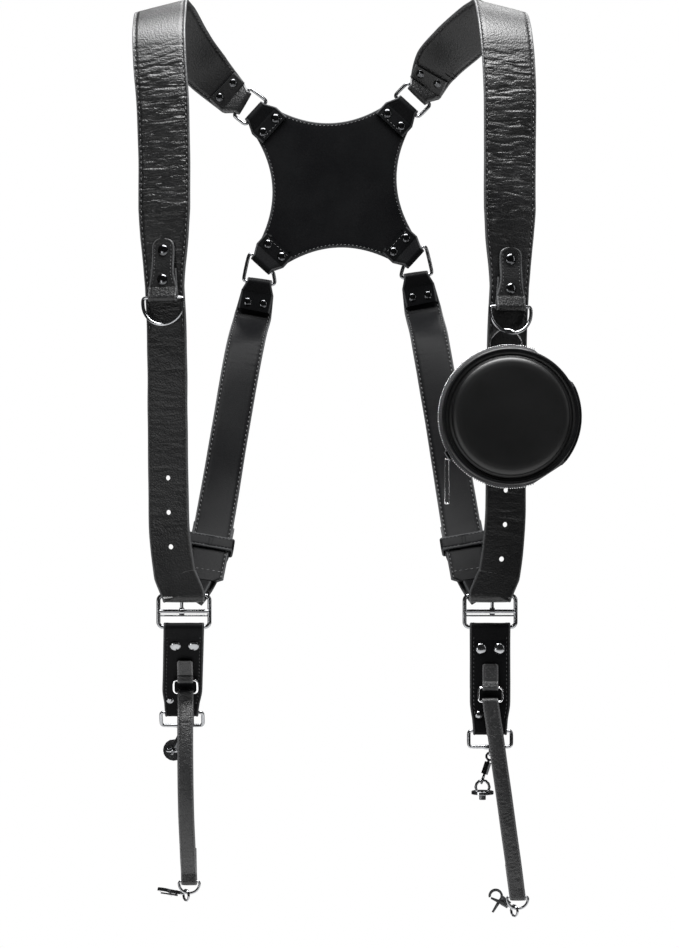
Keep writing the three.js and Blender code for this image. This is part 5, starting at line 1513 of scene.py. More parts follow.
@dataclass
class BackPlate:
    """Waisted panel with a folded loop at each corner."""

    shop: Workshop
    curve_steps: int = 28

    def outline(self, inset: float) -> list[Vector]:
        """The panel's edge, moved inward, as points on its plane (right, up)."""
        arm_end = S.arm_reach - S.plate_flap * 0.7
        half = S.arm_width / 2
        points = []
        for quarter in range(4):
            angle = rad(45 + 90 * quarter)
            arm = Vector((math.cos(angle), math.sin(angle)))
            across = Vector((-arm.y, arm.x))
            first = arm * arm_end - across * half
            second = arm * arm_end + across * half
            end = across * arm_end + arm * half
            middle = (arm + across).normalized() * S.plate_waist
            control = middle * 2 - (second + end) * 0.5
            points.append(first)
            for k in range(self.curve_steps):
                t = k / self.curve_steps
                points.append(second * (1 - t) ** 2 + control * 2 * t * (1 - t) + end * t ** 2)
        if not inset:
            return points
        count = len(points)
        moved = []
        for i, p in enumerate(points):
            tangent = (points[(i + 1) % count] - points[i - 1]).normalized()
            moved.append(p + Vector((-tangent.y, tangent.x)) * inset)
        return moved

    def lifted(self, flat: Vector, lift: float) -> Vector:
        """A point of the plate's plane, lifted toward the wearer's front."""
        corner = Corner(LEFT, 1)
        return along(corner.centre, (corner.right, flat.x), (corner.upward, flat.y), (FRONT, lift))

    def panel(self, bm: bmesh.types.BMesh) -> None:
        """Adds the panel: extruded outline, eased edges, inset and slightly pillowed faces."""
        verts = [bm.verts.new(self.lifted(p, -S.plate / 2)) for p in self.outline(0)]
        base = bm.faces.new(verts)
        grown = bmesh.ops.extrude_face_region(bm, geom=[base], use_keep_orig=True)["geom"]
        tops = [g for g in grown if isinstance(g, bmesh.types.BMVert)]
        bmesh.ops.translate(bm, vec=FRONT * S.plate, verts=tops)
        # The rim mark is 1 on the panel's edges and fades inward over the first insets; there the finish paints a
        # highlight.
        rim = bm.verts.layers.float["rim"]
        for v in bm.verts:
            v[rim] = 1.0
        flat = [f for f in bm.faces if abs(f.normal.y) > 0.9 or len(f.verts) > 20]
        for width, depth in ((0.8, 0.0), (1.8, 0.25), (6.0, 0.0)):
            for f in flat:
                f.normal_update()
            bmesh.ops.inset_region(bm, faces=flat, thickness=width, depth=depth, use_even_offset=True)
            for f in flat:
                for v in f.verts:
                    v[rim] = 0.0 if width > 1 else 0.8

    def build(self) -> None:
        """Makes the plate with its loops, stitches and rivets."""
        bm = new_bmesh()
        self.panel(bm)
        heads = new_bmesh()
        rows = []
        for side in SIDES:
            for vertical in (1, -1):
                rows.append(self.loop(bm, heads, Corner(side, vertical)))
        name = "back_plate"
        self.shop.leather(name, bm, Finish.SMOOTH, "smooth_leather")
        self.shop.sew(name, "smooth_leather", [*rows, *self.edge_rows()])
        self.shop.piece("back_plate_rivets", heads, Finish.GUNMETAL, "dark_rivet")

    def edge_rows(self) -> list[tuple[list[tuple[Vector, Vector]], Thread]]:
        """Rows of stitches that follow the hollowed edges, on both faces."""
        seam = self.outline(2.6)
        steps = self.curve_steps + 1
        rows = []
        for quarter in range(4):
            arc = [seam[quarter * steps + 2 + k] for k in range(self.curve_steps - 2)]
            for lift, normal in ((S.plate / 2 + 0.15, FRONT), (-S.plate / 2 - 0.15, BACK)):
                rows.append(([(self.lifted(p, lift), normal) for p in arc], PLATE_THREAD))
        return rows

    def loop(
        self, bm: bmesh.types.BMesh, heads: bmesh.types.BMesh, corner: Corner
    ) -> tuple[list[tuple[Vector, Vector]], Thread]:
        """Adds one corner's loop of leather round its ring, with two rivets.

        Args:
            bm: the plate's mesh.
            heads: the rivets' mesh.
            corner: where the loop is.

        Returns:
            The row of stitches across the loop.
        """
        away = -corner.diagonal
        widths = (S.arm_width, S.arm_width, S.loop_width)
        stations = folded_end(corner.bar, away, FRONT, S.back_wire, S.plate, widths, S.plate_flap)
        stations.append(Station(along(stations[-1].p, (away, 8)), corner.bar.along, S.arm_width))
        strip_mesh(bm, Strip(stations, S.plate, 1, 1.5), 0.0, 8, 2.4, None, lambda distance: 0.12)
        tip = stations[0]
        dome_pair(heads, along(tip.p, (away, -7.0), (FRONT, S.plate / 2)), tip.w, 9.0, FRONT, BROAD_HEAD)
        return cross_row(along(tip.p, (away, -2.4)), tip.w, FRONT, 14.0, S.plate / 2 - 0.05), LOOP_THREAD


@dataclass
class FrontTab:
    """Riveted tab on the chest that holds a D-ring."""

    side: Side
    shop: Workshop

    def build(self) -> None:
        """Makes the tab, its stitches and its rivets."""
        side = self.side
        drop = S.tab_drop + side.tab_shift
        _, top_w, top_tangent, top_normal = front_at(side, drop)

        def at(length: float, lift: float) -> Vector:
            """A place over the strap."""
            p, _, _, normal = front_at(side, drop + length)
            return along(p, (normal, lift))

        leaf_lift = S.strap / 2 + FIT + S.tab / 2
        radius = S.d_wire + FIT + S.tab / 2
        over = leaf_lift + S.tab + FIT
        start = S.tab_length - 3.2 * radius
        leaf_top = S.tab_length - S.tab_leaf
        narrow, wide = S.tab_top, S.tab_foot
        bar = Bar(at(S.tab_length, leaf_lift + radius), top_w)
        round_top = ((0, 0.22), (0.02, 0.45), (0.07, 0.68), (0.16, 0.87), (0.26, 0.96), (0.38, 1))
        rows = [
            *[(narrow * down, leaf_lift, narrow * wide_share) for down, wide_share in round_top],
            *[(mix(11.5, leaf_top + 5, k / 6), mix(leaf_lift, over, ramp(k, 0, 6)), narrow) for k in range(1, 7)],
            (leaf_top + 10, over, mix(narrow, wide, 0.3)), (start, over, wide),
        ]
        stations = [Station(at(length, lift), top_w, width) for length, lift, width in rows]
        stations += wrap(bar, -top_tangent, top_normal, radius, wide)
        stations += [
            Station(at(start, leaf_lift), top_w, wide * 0.96),
            Station(at(leaf_top + 1, leaf_lift), top_w, wide * 0.9),
        ]
        hand = 1 if (stations[1].p - stations[0].p).cross(top_w).dot(top_normal) > 0 else -1
        strip = Strip(stations, S.tab, hand, 1.2)

        def relief(distance: float, x: float, face: bool) -> float:
            """Pressed middle inside a raised border."""
            body = ramp(distance, 3, 6) * (1 - ramp(distance, start - 2, start + 3))
            half = narrow / 2 - 2.6
            return -0.28 * body * (1 - ramp(abs(x), half - 0.9, half + 0.9)) if face else 0.0

        bm = new_bmesh()
        strip_mesh(bm, strip, 0.15, 9, 2.3, relief, lambda distance: 0.1)
        name = f"front_tab_{side.name}"
        self.shop.leather(name, bm, Finish.PEBBLED)
        paths = seam_rows(strip, 5.0, start - 1, 3.0, sink=0.1)
        self.shop.sew(name, "leather", [(path, TAB_THREAD) for path in paths])
        for i, (share, lift) in enumerate(((0.2, leaf_lift + S.tab / 2), (0.7, leaf_lift + S.tab * 1.5 + FIT))):
            head = new_bmesh()
            dome(head, at(S.tab_length * share, lift), top_normal, S.rivet_head, S.rivet_dome)
            name = f"tab_rivet_{side.name}_{i + 1}"
            self.shop.piece(f"{name}_dome", head, Finish.GUNMETAL, "dark_rivet", [name])


@dataclass
class HipDrop:
    """Everything under a hip buckle: drop tab, square ring, link, screw, anchor, tether and claw."""

    side: Side
    shop: Workshop

    def __post_init__(self) -> None:
        """Works out the frame that hangs from the buckle's bottom bar."""
        bar = buckle_bar(self.side, S.buckle_height)
        self.hang = Matrix.Translation(bar.centre) @ Matrix.Rotation(rad(self.side.drop_lean), 4, "X")
        self.layer = S.drop / 2 + FIT / 2
        self.foot = Vector((self.side.sign * self.side.drop_skew, 0.0, -S.drop_length))
        self.anchor_lift = self.layer + S.drop / 2 + FIT + S.anchor / 2
        self.anchor_radius = S.tether_ring_wire + FIT + S.anchor / 2
        reach = -self.anchor_lift - self.anchor_radius
        self.anchor_bar = Bar(Vector((0.0, reach, -S.anchor_drop - S.anchor_length)), X)
        tilt = rad(S.tether_ring_tilt)
        fall = Vector((0.0, -math.sin(tilt), -math.cos(tilt)))
        self.head = self.hang @ along(self.anchor_bar.centre, (fall, S.tether_ring_height))
        self.tether_foot = along(
            self.head, (self.side.outward, self.side.tether_out), (DOWN, S.tether_length * self.side.tether_share)
        )

    def hung(self, bm: bmesh.types.BMesh) -> bmesh.types.BMesh:
        """Moves a mesh made in the hanging frame to its place."""
        bmesh.ops.transform(bm, matrix=self.hang, verts=bm.verts)
        return bm

    def drop_tab(self) -> None:
        """Makes the folded tab with its border, stitches and rivets."""
        side = self.side
        top = Bar(Vector((0.0, 0.0, 0.0)), X)
        foot = Bar(self.foot, X)
        top_radius = S.buckle_wire + FIT + S.drop / 2
        foot_radius = S.square_wire + FIT + S.drop / 2
        seam = S.drop_length * 0.6

        def station(y: float, z: float, width: float) -> Station:
            """A station at a height, on the line from the buckle to the ring."""
            return Station(Vector((-z / S.drop_length * self.foot.x, y, z)), X, width)

        def layer(y: float, shares: Sequence[float]) -> list[Station]:
            """Stations of one layer."""
            wide = [mix(S.drop_top, S.drop_foot, ramp(share, 0.72, 0.98)) for share in shares]
            return [station(y, -S.drop_length * share, width) for share, width in zip(shares, wide)]

        stations = [
            station(self.layer, -seam + FIT, S.drop_top),
            *layer(self.layer, [0.4, 0.12]),
            *wrap(top, DOWN, BACK, top_radius, S.drop_top),
            *layer(-self.layer, [0.12, 0.4, 0.72, 0.76, 0.8, 0.84, 0.88]),
            *wrap(foot, UP, FRONT, foot_radius, S.drop_foot),
            *layer(self.layer, [0.88, 0.84, 0.8, 0.76, 0.72]),
            station(self.layer, -seam - FIT, S.drop_top),
        ]
        strip = Strip(stations, S.drop, 1, 1.6)
        strip = strip.turned(strip.at(strip.length * 0.5)[3].y >= 0)

        def relief(distance: float, x: float, face: bool) -> float:
            """Pressed middle inside a raised border, with soft waves."""
            if not face:
                return 0.0
            wave = 0.14 * noise.noise(Vector((x * 0.08, distance * 0.05, 11.0 * side.sign)))
            return wave - 0.3 * (1 - ramp(abs(x), 12.4, 14.0))

        bm = new_bmesh()
        strip_mesh(bm, strip, 0.15, 11, 2.2, relief, lambda distance: 0.12, 0.2)
        name = f"drop_tab_{side.name}"
        self.shop.leather(name, self.hung(bm), Finish.SMOOTH)
        rows = []
        for path in seam_rows(strip, 0, strip.length, 3.4, sink=0.12):
            flat = [
                (place, n) for place, n in path
                if abs(n.y) > 0.9 and -S.drop_length * 0.9 < place.z < -S.drop_length * 0.08
            ]
            face = [row for row in flat if row[0].y < 0]
            rear = [row for row in flat if row[0].y > 0]
            for run in (face, rear[: len(rear) // 2], rear[len(rear) // 2:]):
                if len(run) > 2 and max((b[0] - a[0]).length for a, b in zip(run, run[1:])) < 6:
                    rows.append((run, DROP_THREAD))
        self.shop.sew(name, "leather", rows, self.hang)
        seat = self.layer + S.drop / 2
        for i, hand in enumerate((-1, 1)):
            head = new_bmesh()
            place = Vector((hand * S.drop_top / 4.4, -seat, -S.drop_length * 0.205))
            dome(head, place, FRONT, S.rivet_head, S.rivet_dome)
            dome(head, along(place, (BACK, 2 * seat)), BACK, S.rivet_head * 0.8, 1.0)
            name = f"drop_rivet_{side.name}_{i + 1}"
            self.shop.piece(f"{name}_dome", self.hung(head), Finish.NICKEL, "dark_rivet", [name])
        small = new_bmesh()
        low = along(self.foot, (X, -10.2), (UP, 14.5), (FRONT, seat))
        dome(small, low, FRONT, 3.4, 1.5)
        self.shop.piece(f"low_rivet_{side.name}", self.hung(small), Finish.NICKEL, "dark_rivet")

    def anchor(self) -> None:
        """Makes the sewn strip that holds the tether's ring."""

        def station(lift: float, drop: float, width: float = S.anchor_width) -> Station:
            """A station over the drop tab."""
            return Station(Vector((0.0, -self.anchor_lift - lift, -drop)), X, width)

        step = S.anchor + FIT
        top = S.anchor_drop
        stations = [
            station(step, top, S.anchor_width * 0.8),
            station(step, top + 0.8, S.anchor_width * 0.95),
            station(step, top + 2.0),
            station(step, top + S.anchor_length - 2.4 * self.anchor_radius),
            *wrap(self.anchor_bar, UP, FRONT, self.anchor_radius, S.anchor_width),
            station(0, top + S.anchor_length / 2),
            station(0, top + 2),
        ]
        hand = 1 if (stations[1].p - stations[0].p).cross(X).dot(FRONT) > 0 else -1
        strip = Strip(stations, S.anchor, hand, 1.0)
        bm = new_bmesh()
        strip_mesh(bm, strip, 0.1, 7, 1.6, None, lambda distance: 0.08)
        name = f"tether_anchor_{self.side.name}"
        self.shop.leather(name, self.hung(bm), Finish.TETHER)
        lift = self.anchor_lift + step + S.anchor / 2 + 0.05
        box = [(-4.2, 2.6), (4.2, 2.6), (4.2, 12.0), (-4.2, 12.0), (-4.2, 2.6), (4.2, 12.0)]
        corners = [Vector((x, -lift, -S.anchor_drop - z)) for x, z in box]
        rows = [([(a, FRONT), (b, FRONT)], ANCHOR_THREAD) for a, b in zip(corners, corners[1:])]
        self.shop.sew(name, "leather", rows, self.hang)

    def tether(self) -> None:
        """Makes the padded tether strap with its puckers and cross seams."""
        side = self.side
        top_radius = S.tether_ring_wire + FIT + S.tether / 2
        foot_radius = S.tether_d_wire + FIT + S.tether / 2
        slope = (self.tether_foot - self.head).normalized()
        widths = (S.tether_width,) * 3
        start = folded_end(Bar(self.head, X), slope, BACK, S.tether_ring_wire, S.tether, widths, S.tether_flap)
        end = folded_end(Bar(self.tether_foot, X), -slope, BACK, S.tether_d_wire, S.tether, widths, S.tether_flap)
        run = []
        for share in (0.15, 0.5, 0.85):
            bulge = mix(top_radius, foot_radius, share) + side.tether_bow * math.sin(math.pi * share)
            run.append(Station(along(self.head.lerp(self.tether_foot, share), (FRONT, bulge)), X, S.tether_width))
        body = smooth([start[-1], *run, end[-1]], 16)
        stations = [*start[:-1], *body, *reversed(end[:-1])]
        strip = Strip(stations, S.tether, 1, 1.0)
        strip = strip.turned(strip.at(strip.length * 0.5)[3].y >= 0)
        first, last = S.tether_flap + 12, strip.length - S.tether_flap - 12
        marks = (first + 26, last - 22, last - 14)

        def relief(distance: float, x: float, face: bool) -> float:
            """Padding with puckers between the seams."""
            inside = ramp(distance, first - 6, first + 2) * (1 - ramp(distance, last - 2, last + 6))
            middle = 1 - ramp(abs(x), 2.8, 4.9)
            seed = 13.0 * side.sign
            pucker = ridges(Vector((x * 0.16, distance * 0.33, seed))) - 0.6
            tuck = sum(math.exp(-((distance - m) / 0.9) ** 2) for m in marks)
            height = middle * (0.28 + 0.5 * side.pucker * pucker) - 0.35 * tuck * middle
            return inside * height * (1.0 if face else 0.4)

        bm = new_bmesh()
        strip_mesh(bm, strip, 0.3, 9, 1.9, relief, lambda distance: 0.14, 0.2)
        name = f"tether_strap_{side.name}"
        self.shop.leather(name, bm, Finish.TETHER)
        paths = seam_rows(strip, first - 8, last + 8, 1.9, faces=(1, -1), crown=0.3, sink=0.08)
        rows = [(path, TETHER_THREAD) for path in paths]
        for mark in marks:
            p, _, w, n, _ = strip.at(mark)
            rows.append((cross_row(p, w, n, 4.6, S.tether / 2 + 0.1), TUCK_THREAD))
        self.shop.sew(name, "leather", rows)

    def metal(self) -> None:
        """Makes the wires, link, screw and claw."""
        name = self.side.name
        wires = (
            ("square_ring", Finish.NICKEL, 0.28), ("tether_ring", Finish.BRIGHT, 0.2),
            ("tether_d_ring", Finish.NICKEL, 0.22),
        )
        for node, finish, fatten in wires:
            self.shop.rounded_copy(f"{node}_{name}", finish, fatten)
        solids = (
            ("screw_link", Finish.GUNMETAL, 0.35), ("camera_screw", Finish.NICKEL, 0.4),
            ("tether_claw", Finish.NICKEL, 0.3),
        )
        for node, finish, width in solids:
            self.shop.bevelled_copy(f"{node}_{name}", finish, width)
        self.shop.bevelled_copy(f"claw_lever_{name}", Finish.NICKEL, 0.25, f"lever_{name}")

    def build(self) -> None:
        """Makes the whole drop."""
        self.drop_tab()
        self.anchor()
        self.tether()
        self.metal()


@dataclass
class RoundPouch:
    """Round zip pouch on a split ring."""

    shop: Workshop
    teeth: int = 118
    teeth_run: tuple[float, float] = (70, 289)
    hinge: tuple[float, float] = (-43, 29)
    flats: tuple[tuple[float, float], ...] = ((29, 70), (289.5, 317))
    slider_turn: float = 212
    pull: tuple[float, float, float] = (1.9, 3.0, 42.5)

    def __post_init__(self) -> None:
        """Works out the places from the right front D-ring."""
        side = RIGHT
        tilt = rad(side.ring_tilt)
        drop = S.tab_drop + side.tab_shift
        p, _, _, normal = front_at(side, drop + S.tab_length)
        _, top_w, _, top_normal = front_at(side, drop)
        lift = S.strap / 2 + FIT + S.tab / 2 + S.d_wire + FIT + S.tab / 2
        bar = along(p, (normal, lift))
        fall = DOWN * math.cos(tilt) + top_normal * math.sin(tilt)
        across = top_w * -side.sign
        bow = min(S.d_width / 2, S.d_depth - 1.3 * S.d_corner)
        place = rad(S.pouch_ring_place)
        foot = along(
            bar, (fall, S.d_depth - bow + bow * math.cos(place)), (across, -S.d_width / 2 * math.sin(place))
        )
        reach = S.pouch_ring - S.pouch_ring_wire - S.d_wire - FIT
        turn = rad(S.pouch_ring_turn)
        self.ring_across = Vector((math.cos(turn), math.sin(turn), 0.0))
        self.ring_centre = along(foot, (DOWN, reach * math.cos(place)), (self.ring_across, -reach * math.sin(place)))
        self.ring_foot = along(self.ring_centre, (DOWN, S.pouch_ring))
        self.hanger_radius = S.pouch_ring_wire + 3 * FIT + S.hanger / 2
        ring_reach = S.pouch_ring * abs(self.ring_across.y) + S.pouch_ring_wire
        hanger_reach = self.hanger_radius + S.hanger / 2 + S.hanger_width / 2 * abs(self.ring_across.y)
        self.back_face = self.ring_foot.y - max(ring_reach, hanger_reach) - FIT
        height = self.ring_foot.z - S.pouch_radius * 0.79
        self.centre = Vector((self.ring_foot.x + 2, self.back_face - S.pouch_back, height))

    def shells(self) -> None:
        """Makes the two pressed shells with their piping."""
        rim = S.pouch_radius - 2.4
        low = S.zip_half + FIT
        front = S.pouch_front
        profile = [
            (0, front - 2), (rim * 0.82, front - 3), (rim - 2, front * 0.62), (rim - 2, low), (rim, low),
            (rim + 0.1, front * 0.5), (rim, front * 0.68), (rim * 0.993, front * 0.75), (rim * 0.975, front * 0.765),
            (rim * 0.94, front * 0.775), (rim * 0.915, front * 0.765), (rim * 0.9, front * 0.73),
            (rim * 0.888, front * 0.69), (rim * 0.876, front * 0.7), (rim * 0.868, front * 0.78),
            (rim * 0.855, front * 0.86), (rim * 0.825, front * 0.93), (rim * 0.78, front * 0.97),
            (rim * 0.7, front * 0.988), (rim * 0.5, front * 0.997), (0, front * 1.0),
        ]
        bm = new_bmesh()
        lathe(bm, profile, self.centre, FRONT, 96)
        self.shop.piece("pouch_front_shell", bm, Finish.POUCH, "pouch_skin", ["pouch_front"], "pouch")
        back = S.pouch_back
        profile = [
            (0, back - 2), (rim * 0.88, back - 2), (rim - 2, back * 0.7), (rim - 2, low), (rim, low),
            (rim + 0.1, back * 0.5), (rim, back * 0.72), (rim * 0.99, back * 0.82), (rim * 0.97, back * 0.92),
            (rim * 0.94, back * 0.985), (rim * 0.9, back), (rim * 0.5, back * 0.995), (0, back * 0.99),
        ]
        bm = new_bmesh()
        lathe(bm, profile, self.centre, BACK, 96)
        self.shop.piece("pouch_back_shell", bm, Finish.POUCH, "pouch_skin", ["pouch_back"], "pouch")
        piping = new_bmesh()
        for radius, height in ((rim * 0.967, front * 0.80), (rim * 0.985, -back * 0.8)):
            path = self.circle(radius, height, 96)
            tube(piping, path, 1.15, BACK, True, 10)
        self.shop.piece("pouch_piping", piping, Finish.SMOOTH, "pouch_skin", (), "pouch")

    def circle(self, radius: float, height: float, steps: int) -> list[Vector]:
        """A circle round the pouch's axis, at a height in front of its middle."""
        ways = [self.circle_way(360 * k / steps) for k in range(steps)]
        return [along(self.centre, (way, radius), (FRONT, height)) for way in ways]

    def reach(self, degrees: float) -> float:
        """Radius of the zip band: round, with straight stretches where it leaves the hinge."""
        for low, high in self.flats:
            if low <= degrees <= high:
                half = rad(high - low) / 2
                return S.pouch_radius * math.cos(half) / math.cos(rad(degrees) - rad(low) - half)
        return S.pouch_radius

    def circle_way(self, degrees: float) -> Vector:
        """Direction out of the pouch's middle at an angle."""
        return Vector((math.cos(rad(degrees)), 0.0, math.sin(rad(degrees))))

    def zip_band(self) -> None:
        """Makes the tape, its teeth and the hinge gusset."""
        rim = S.pouch_radius
        rings = []
        uvs = []
        for k in range(180):
            degrees = 2 * k
            out = self.circle_way(degrees)
            sunk = rim - self.reach(degrees)
            profile = [
                (rim - 6, -S.zip_half), (rim - 0.5 - sunk, -S.zip_half), (rim - 0.1 - sunk, -2.4),
                (rim - 0.1 - sunk, 2.4), (rim - 0.5 - sunk, S.zip_half), (rim - 6, S.zip_half),
            ]
            rings.append([along(self.centre, (out, r), (FRONT, h)) for r, h in profile])
            uvs.append([(h * MM, rim * rad(degrees) * MM) for _, h in profile])
        bm = new_bmesh()
        sweep(bm, rings, uvs=uvs, closed=True)
        self.shop.piece("pouch_zip_tape", bm, Finish.TAPE, "zip_tape", ["pouch_zip"], "pouch")
        teeth = new_bmesh()
        for k in range(self.teeth):
            out = self.circle_way(mix(*self.teeth_run, k / (self.teeth - 1)))
            shift = 0.55 if k % 2 else -0.55
            bead(teeth, along(self.centre, (out, rim + 0.3), (FRONT, shift)), FRONT, out, (3.6, 1.3, 1.9))
        self.shop.piece("pouch_zip_teeth", teeth, Finish.BRIGHT, "zip_tape", (), "pouch")
        gusset = new_bmesh()
        rings = []
        for k in range(37):
            out = self.circle_way(mix(*self.hinge, k / 36))
            near = ramp(min(k, 36 - k), 0, 3)
            tall = mix(S.zip_half - 0.3, S.zip_half + 0.2, near)
            proud = mix(0.05, 0.5, near)
            profile = (
                (rim - 5, -tall), (rim + proud, -tall), (rim + proud + 0.3, 0), (rim + proud, tall), (rim - 5, tall),
            )
            rings.append([along(self.centre, (out, r), (FRONT, h)) for r, h in profile])
        sweep(gusset, rings)
        self.shop.piece("pouch_hinge_gusset", gusset, Finish.SMOOTH, "pouch_skin", (), "pouch")

    def hanger(self) -> None:
        """Makes the leather hanger on the pouch's back."""
        bar = Bar(self.ring_foot, self.ring_across)

        def station(lift: float, drop: float) -> Station:
            """A station of the hanger."""
            return Station(along(self.ring_foot, (FRONT, lift), (DOWN, drop)), X, S.hanger_width)

        land = self.ring_foot.y - self.back_face - FIT - S.hanger / 2
        stations = [
            station(land, S.hanger_length),
            station(land, S.hanger_length * 0.55),
            *wrap(bar, DOWN, FRONT, self.hanger_radius, S.hanger_width),
            station(land - S.hanger - FIT, S.hanger_length * 0.62),
            station(land - S.hanger - FIT, S.hanger_length),
        ]
        bm = new_bmesh()
        strip_mesh(bm, Strip(stations, S.hanger, 1, 1.0), 0.0, 4, 1.3)
        self.shop.leather("pouch_hanger", bm, Finish.SMOOTH, "leather", "pouch")

    def split_ring(self) -> None:
        """Makes the split ring: two flat turns of wire side by side, with their offset ends."""
        across = self.ring_across
        axis = across.cross(UP).normalized()
        path = []
        turns = 2
        steps = 56 * turns
        for k in range(steps + 1):
            share = k / steps
            angle = rad(250) - 2 * math.pi * turns * share
            offset = mix(-0.5, 0.5, ramp(share, 0.44, 0.56)) * 1.05
            level, rise = S.pouch_ring * math.cos(angle), S.pouch_ring * math.sin(angle)
            path.append(along(self.ring_centre, (across, level), (UP, rise), (axis, offset)))
        bm = new_bmesh()
        tube(bm, path, 0.52, axis, False, 10)
        self.shop.piece("pouch_split_ring", bm, Finish.BRIGHT, "bright_wire", ["pouch_ring"], "pouch")

    def slider(self) -> None:
        """Makes the zip's slider and its long wire pull."""
        out = self.circle_way(self.slider_turn)
        seat = along(self.centre, (out, S.pouch_radius + 0.6 + FIT + 1.3))
        bm = new_bmesh()
        turn = Matrix((out, BACK, out.cross(BACK))).transposed().to_4x4()
        place = Matrix.Translation(seat) @ turn @ Matrix.Diagonal((2.4, 6.6, 9.6, 1.0))
        made = bmesh.ops.create_cube(bm, size=1.0, matrix=place)["verts"]
        edges = list({e for v in made for e in v.link_edges})
        bmesh.ops.bevel(
            bm, geom=edges, offset=0.8, offset_type="OFFSET", affect="EDGES", segments=3, profile=0.5, material=-1,
        )
        self.shop.piece("zip_slider_body", bm, Finish.GUNMETAL, "bright_wire", ["zip_slider"], "pouch")
        pull = new_bmesh()
        half, top, foot = self.pull
        middle = along(seat, (X, -0.5), (DOWN, (top + foot) / 2))
        path = rounded_loop(middle, X, UP, half, (foot - top) / 2, half * 0.55, 4)
        tube(pull, path, 0.62, FRONT, True, 10)
        self.shop.piece("zip_pull_wire", pull, Finish.BRIGHT, "bright_wire", (), "pouch")

    def build(self) -> None:
        """Makes the whole pouch."""
        self.shells()
        self.zip_band()
        self.hanger()
        self.split_ring()
        self.slider()


@dataclass
class HipBuckle:
    """Wire buckle with its prong, and the rings of the harness."""

    side: Side
    shop: Workshop

    def build(self) -> None:
        """Makes the buckle, its prong, the back rings and the front D-ring."""
        name = self.side.name
        shop = self.shop
        bm = new_bmesh()
        top = buckle_bar(self.side, 0).centre
        half, tall = S.buckle_width / 2, S.buckle_height / 2
        path = rounded_loop(along(top, (DOWN, tall)), X, UP, half, tall, S.buckle_corner, 8)
        tube(bm, path, S.buckle_wire, FRONT, True, 14)
        for drop, wire in ((tall, S.buckle_wire), (tall + S.roller_drop, S.roller_wire)):
            ends = [along(top, (DOWN, drop), (X, share * half)) for share in (-1, -0.5, 0, 0.5, 1)]
            tube(bm, ends, wire, FRONT, False, 14)
        shop.piece(f"hip_buckle_{name}_wire", bm, Finish.NICKEL, "bright_wire", [f"hip_buckle_{name}"])
        shop.bevelled_copy(f"buckle_prong_{name}", Finish.NICKEL, 0.3)
        shop.rounded_copy(f"upper_ring_{name}", Finish.NICKEL, 0.3)
        shop.rounded_copy(f"lower_ring_{name}", Finish.NICKEL, 0.3)
        body = "front_ring_left" if name == "left" else "harness"
        shop.rounded_copy(f"front_d_ring_{name}", Finish.NICKEL, 0.28, body)


# ---- Studio


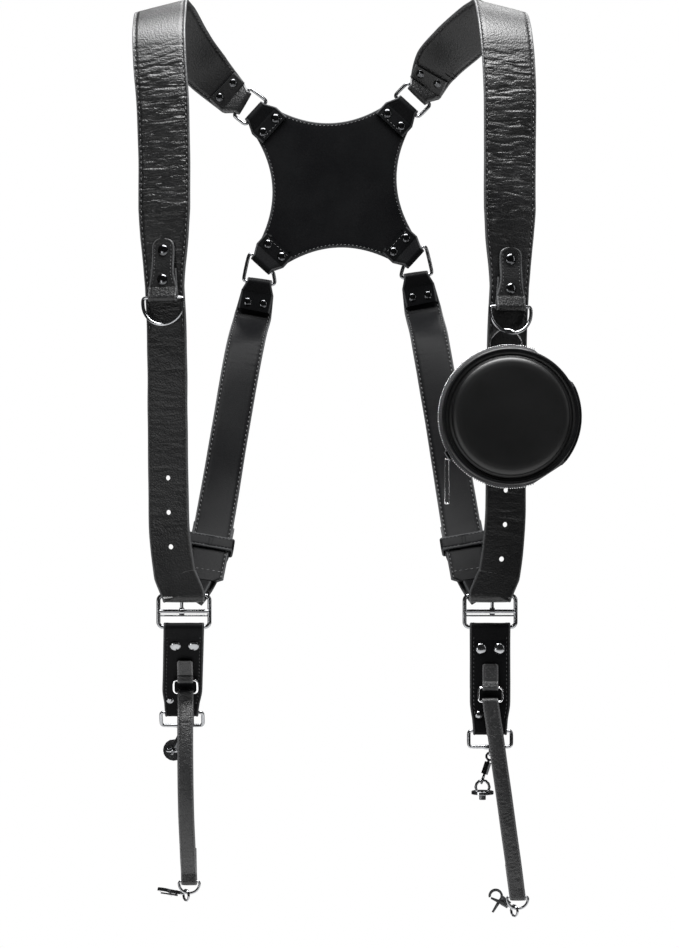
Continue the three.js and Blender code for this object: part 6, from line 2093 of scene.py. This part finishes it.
@dataclass(frozen=True)
class Studio:
    """Camera, pale floor, white surroundings and soft light."""

    camera_place: tuple[float, float, float] = (0.00825, -2.59, -0.4325)
    lens: float = 105.5
    floor_height: float = -1.25
    floor_half: float = 1.9
    glow: float = 0.04

    def camera(self) -> None:
        """Sets the camera at the photograph's place: level, looking along +Y."""
        data = bpy.data.cameras.new("camera")
        data.lens = self.lens
        data.sensor_width = 36.0
        obj = linked("camera", data)
        obj.location = self.camera_place
        obj.rotation_euler = (math.pi / 2, 0.0, 0.0)
        bpy.context.scene.camera = obj

    def floor(self) -> None:
        """Lays the pale floor."""
        bm = bmesh.new()
        bmesh.ops.create_grid(bm, x_segments=1, y_segments=1, size=self.floor_half)
        bmesh.ops.translate(bm, vec=(0, 0, self.floor_height), verts=bm.verts)
        obj = meshed("floor", bm)
        shader = Shader("pale_floor")
        cloud = shader.noise(shader.place(), 3.0, 2.0)
        shader.set(Base_Color=shader.blend(cloud, (0.86, 0.86, 0.86), (0.9, 0.9, 0.9)), Roughness=0.8)
        obj.data.materials.append(shader.material)

    def lamp(self, name: str, place: tuple[float, float, float], goal: tuple[float, float, float],
             size: tuple[float, float], power: float) -> None:
        """Adds a soft rectangular light that points at a goal."""
        data = bpy.data.lights.new(name, "AREA")
        data.shape = "RECTANGLE"
        data.size, data.size_y = size
        data.energy = power
        obj = linked(name, data)
        obj.location = place
        obj.rotation_euler = (Vector(goal) - Vector(place)).to_track_quat("-Z", "Y").to_euler()

    def light(self) -> None:
        """Adds the world's glow and the soft lights."""
        world = bpy.data.worlds.new("white_room")
        world.use_nodes = True
        tree = world.node_tree
        room = tree.nodes["Background"]
        room.inputs["Color"].default_value = (1.0, 1.0, 1.0, 1.0)
        room.inputs["Strength"].default_value = self.glow
        white = tree.nodes.new("ShaderNodeBackground")
        white.inputs["Color"].default_value = (1.0, 1.0, 1.0, 1.0)
        path = tree.nodes.new("ShaderNodeLightPath")
        joined = tree.nodes.new("ShaderNodeMixShader")
        tree.links.new(path.outputs["Is Camera Ray"], joined.inputs[0])
        tree.links.new(room.outputs[0], joined.inputs[1])
        tree.links.new(white.outputs[0], joined.inputs[2])
        tree.links.new(joined.outputs[0], tree.nodes["World Output"].inputs["Surface"])
        bpy.context.scene.world = world
        self.lamp("overhead", (0.0, -0.36, 1.45), (0, -0.02, 0.0), (1.7, 1.1), 160.0)
        self.lamp("rear_top", (0.2, 1.5, 1.4), (0, 0.1, -0.2), (1.4, 0.8), 20.0)
        self.lamp("low_left", (-1.5, -1.5, -1.0), (0, 0, -0.4), (0.45, 0.9), 8.0)
        self.lamp("right_strip", (1.9, -0.7, 0.1), (0, 0, -0.4), (0.25, 1.5), 5.0)
        bpy.context.scene.view_settings.view_transform = "Standard"

    def build(self) -> None:
        """Sets up the studio."""
        self.camera()
        self.floor()
        self.light()


def corners(bounds: tuple[Vector, Vector]) -> list[list[float]]:
    """A box as plain lists."""
    return [list(map(float, corner)) for corner in bounds]


def main() -> None:
    """Builds the harness's looks round its frame, in order."""
    logging.basicConfig(level=logging.INFO, format="%(message)s")
    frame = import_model()
    Studio().build()
    shop = Workshop(frame["nodes"])
    BackPlate(shop).build()
    for side in SIDES:
        ShoulderStrap(side, shop).build()
        SideStrap(side, shop).build()
        FrontTab(side, shop).build()
        HipBuckle(side, shop).build()
        HipDrop(side, shop).build()
    RoundPouch(shop).build()


if __name__ == "__main__":
    main()
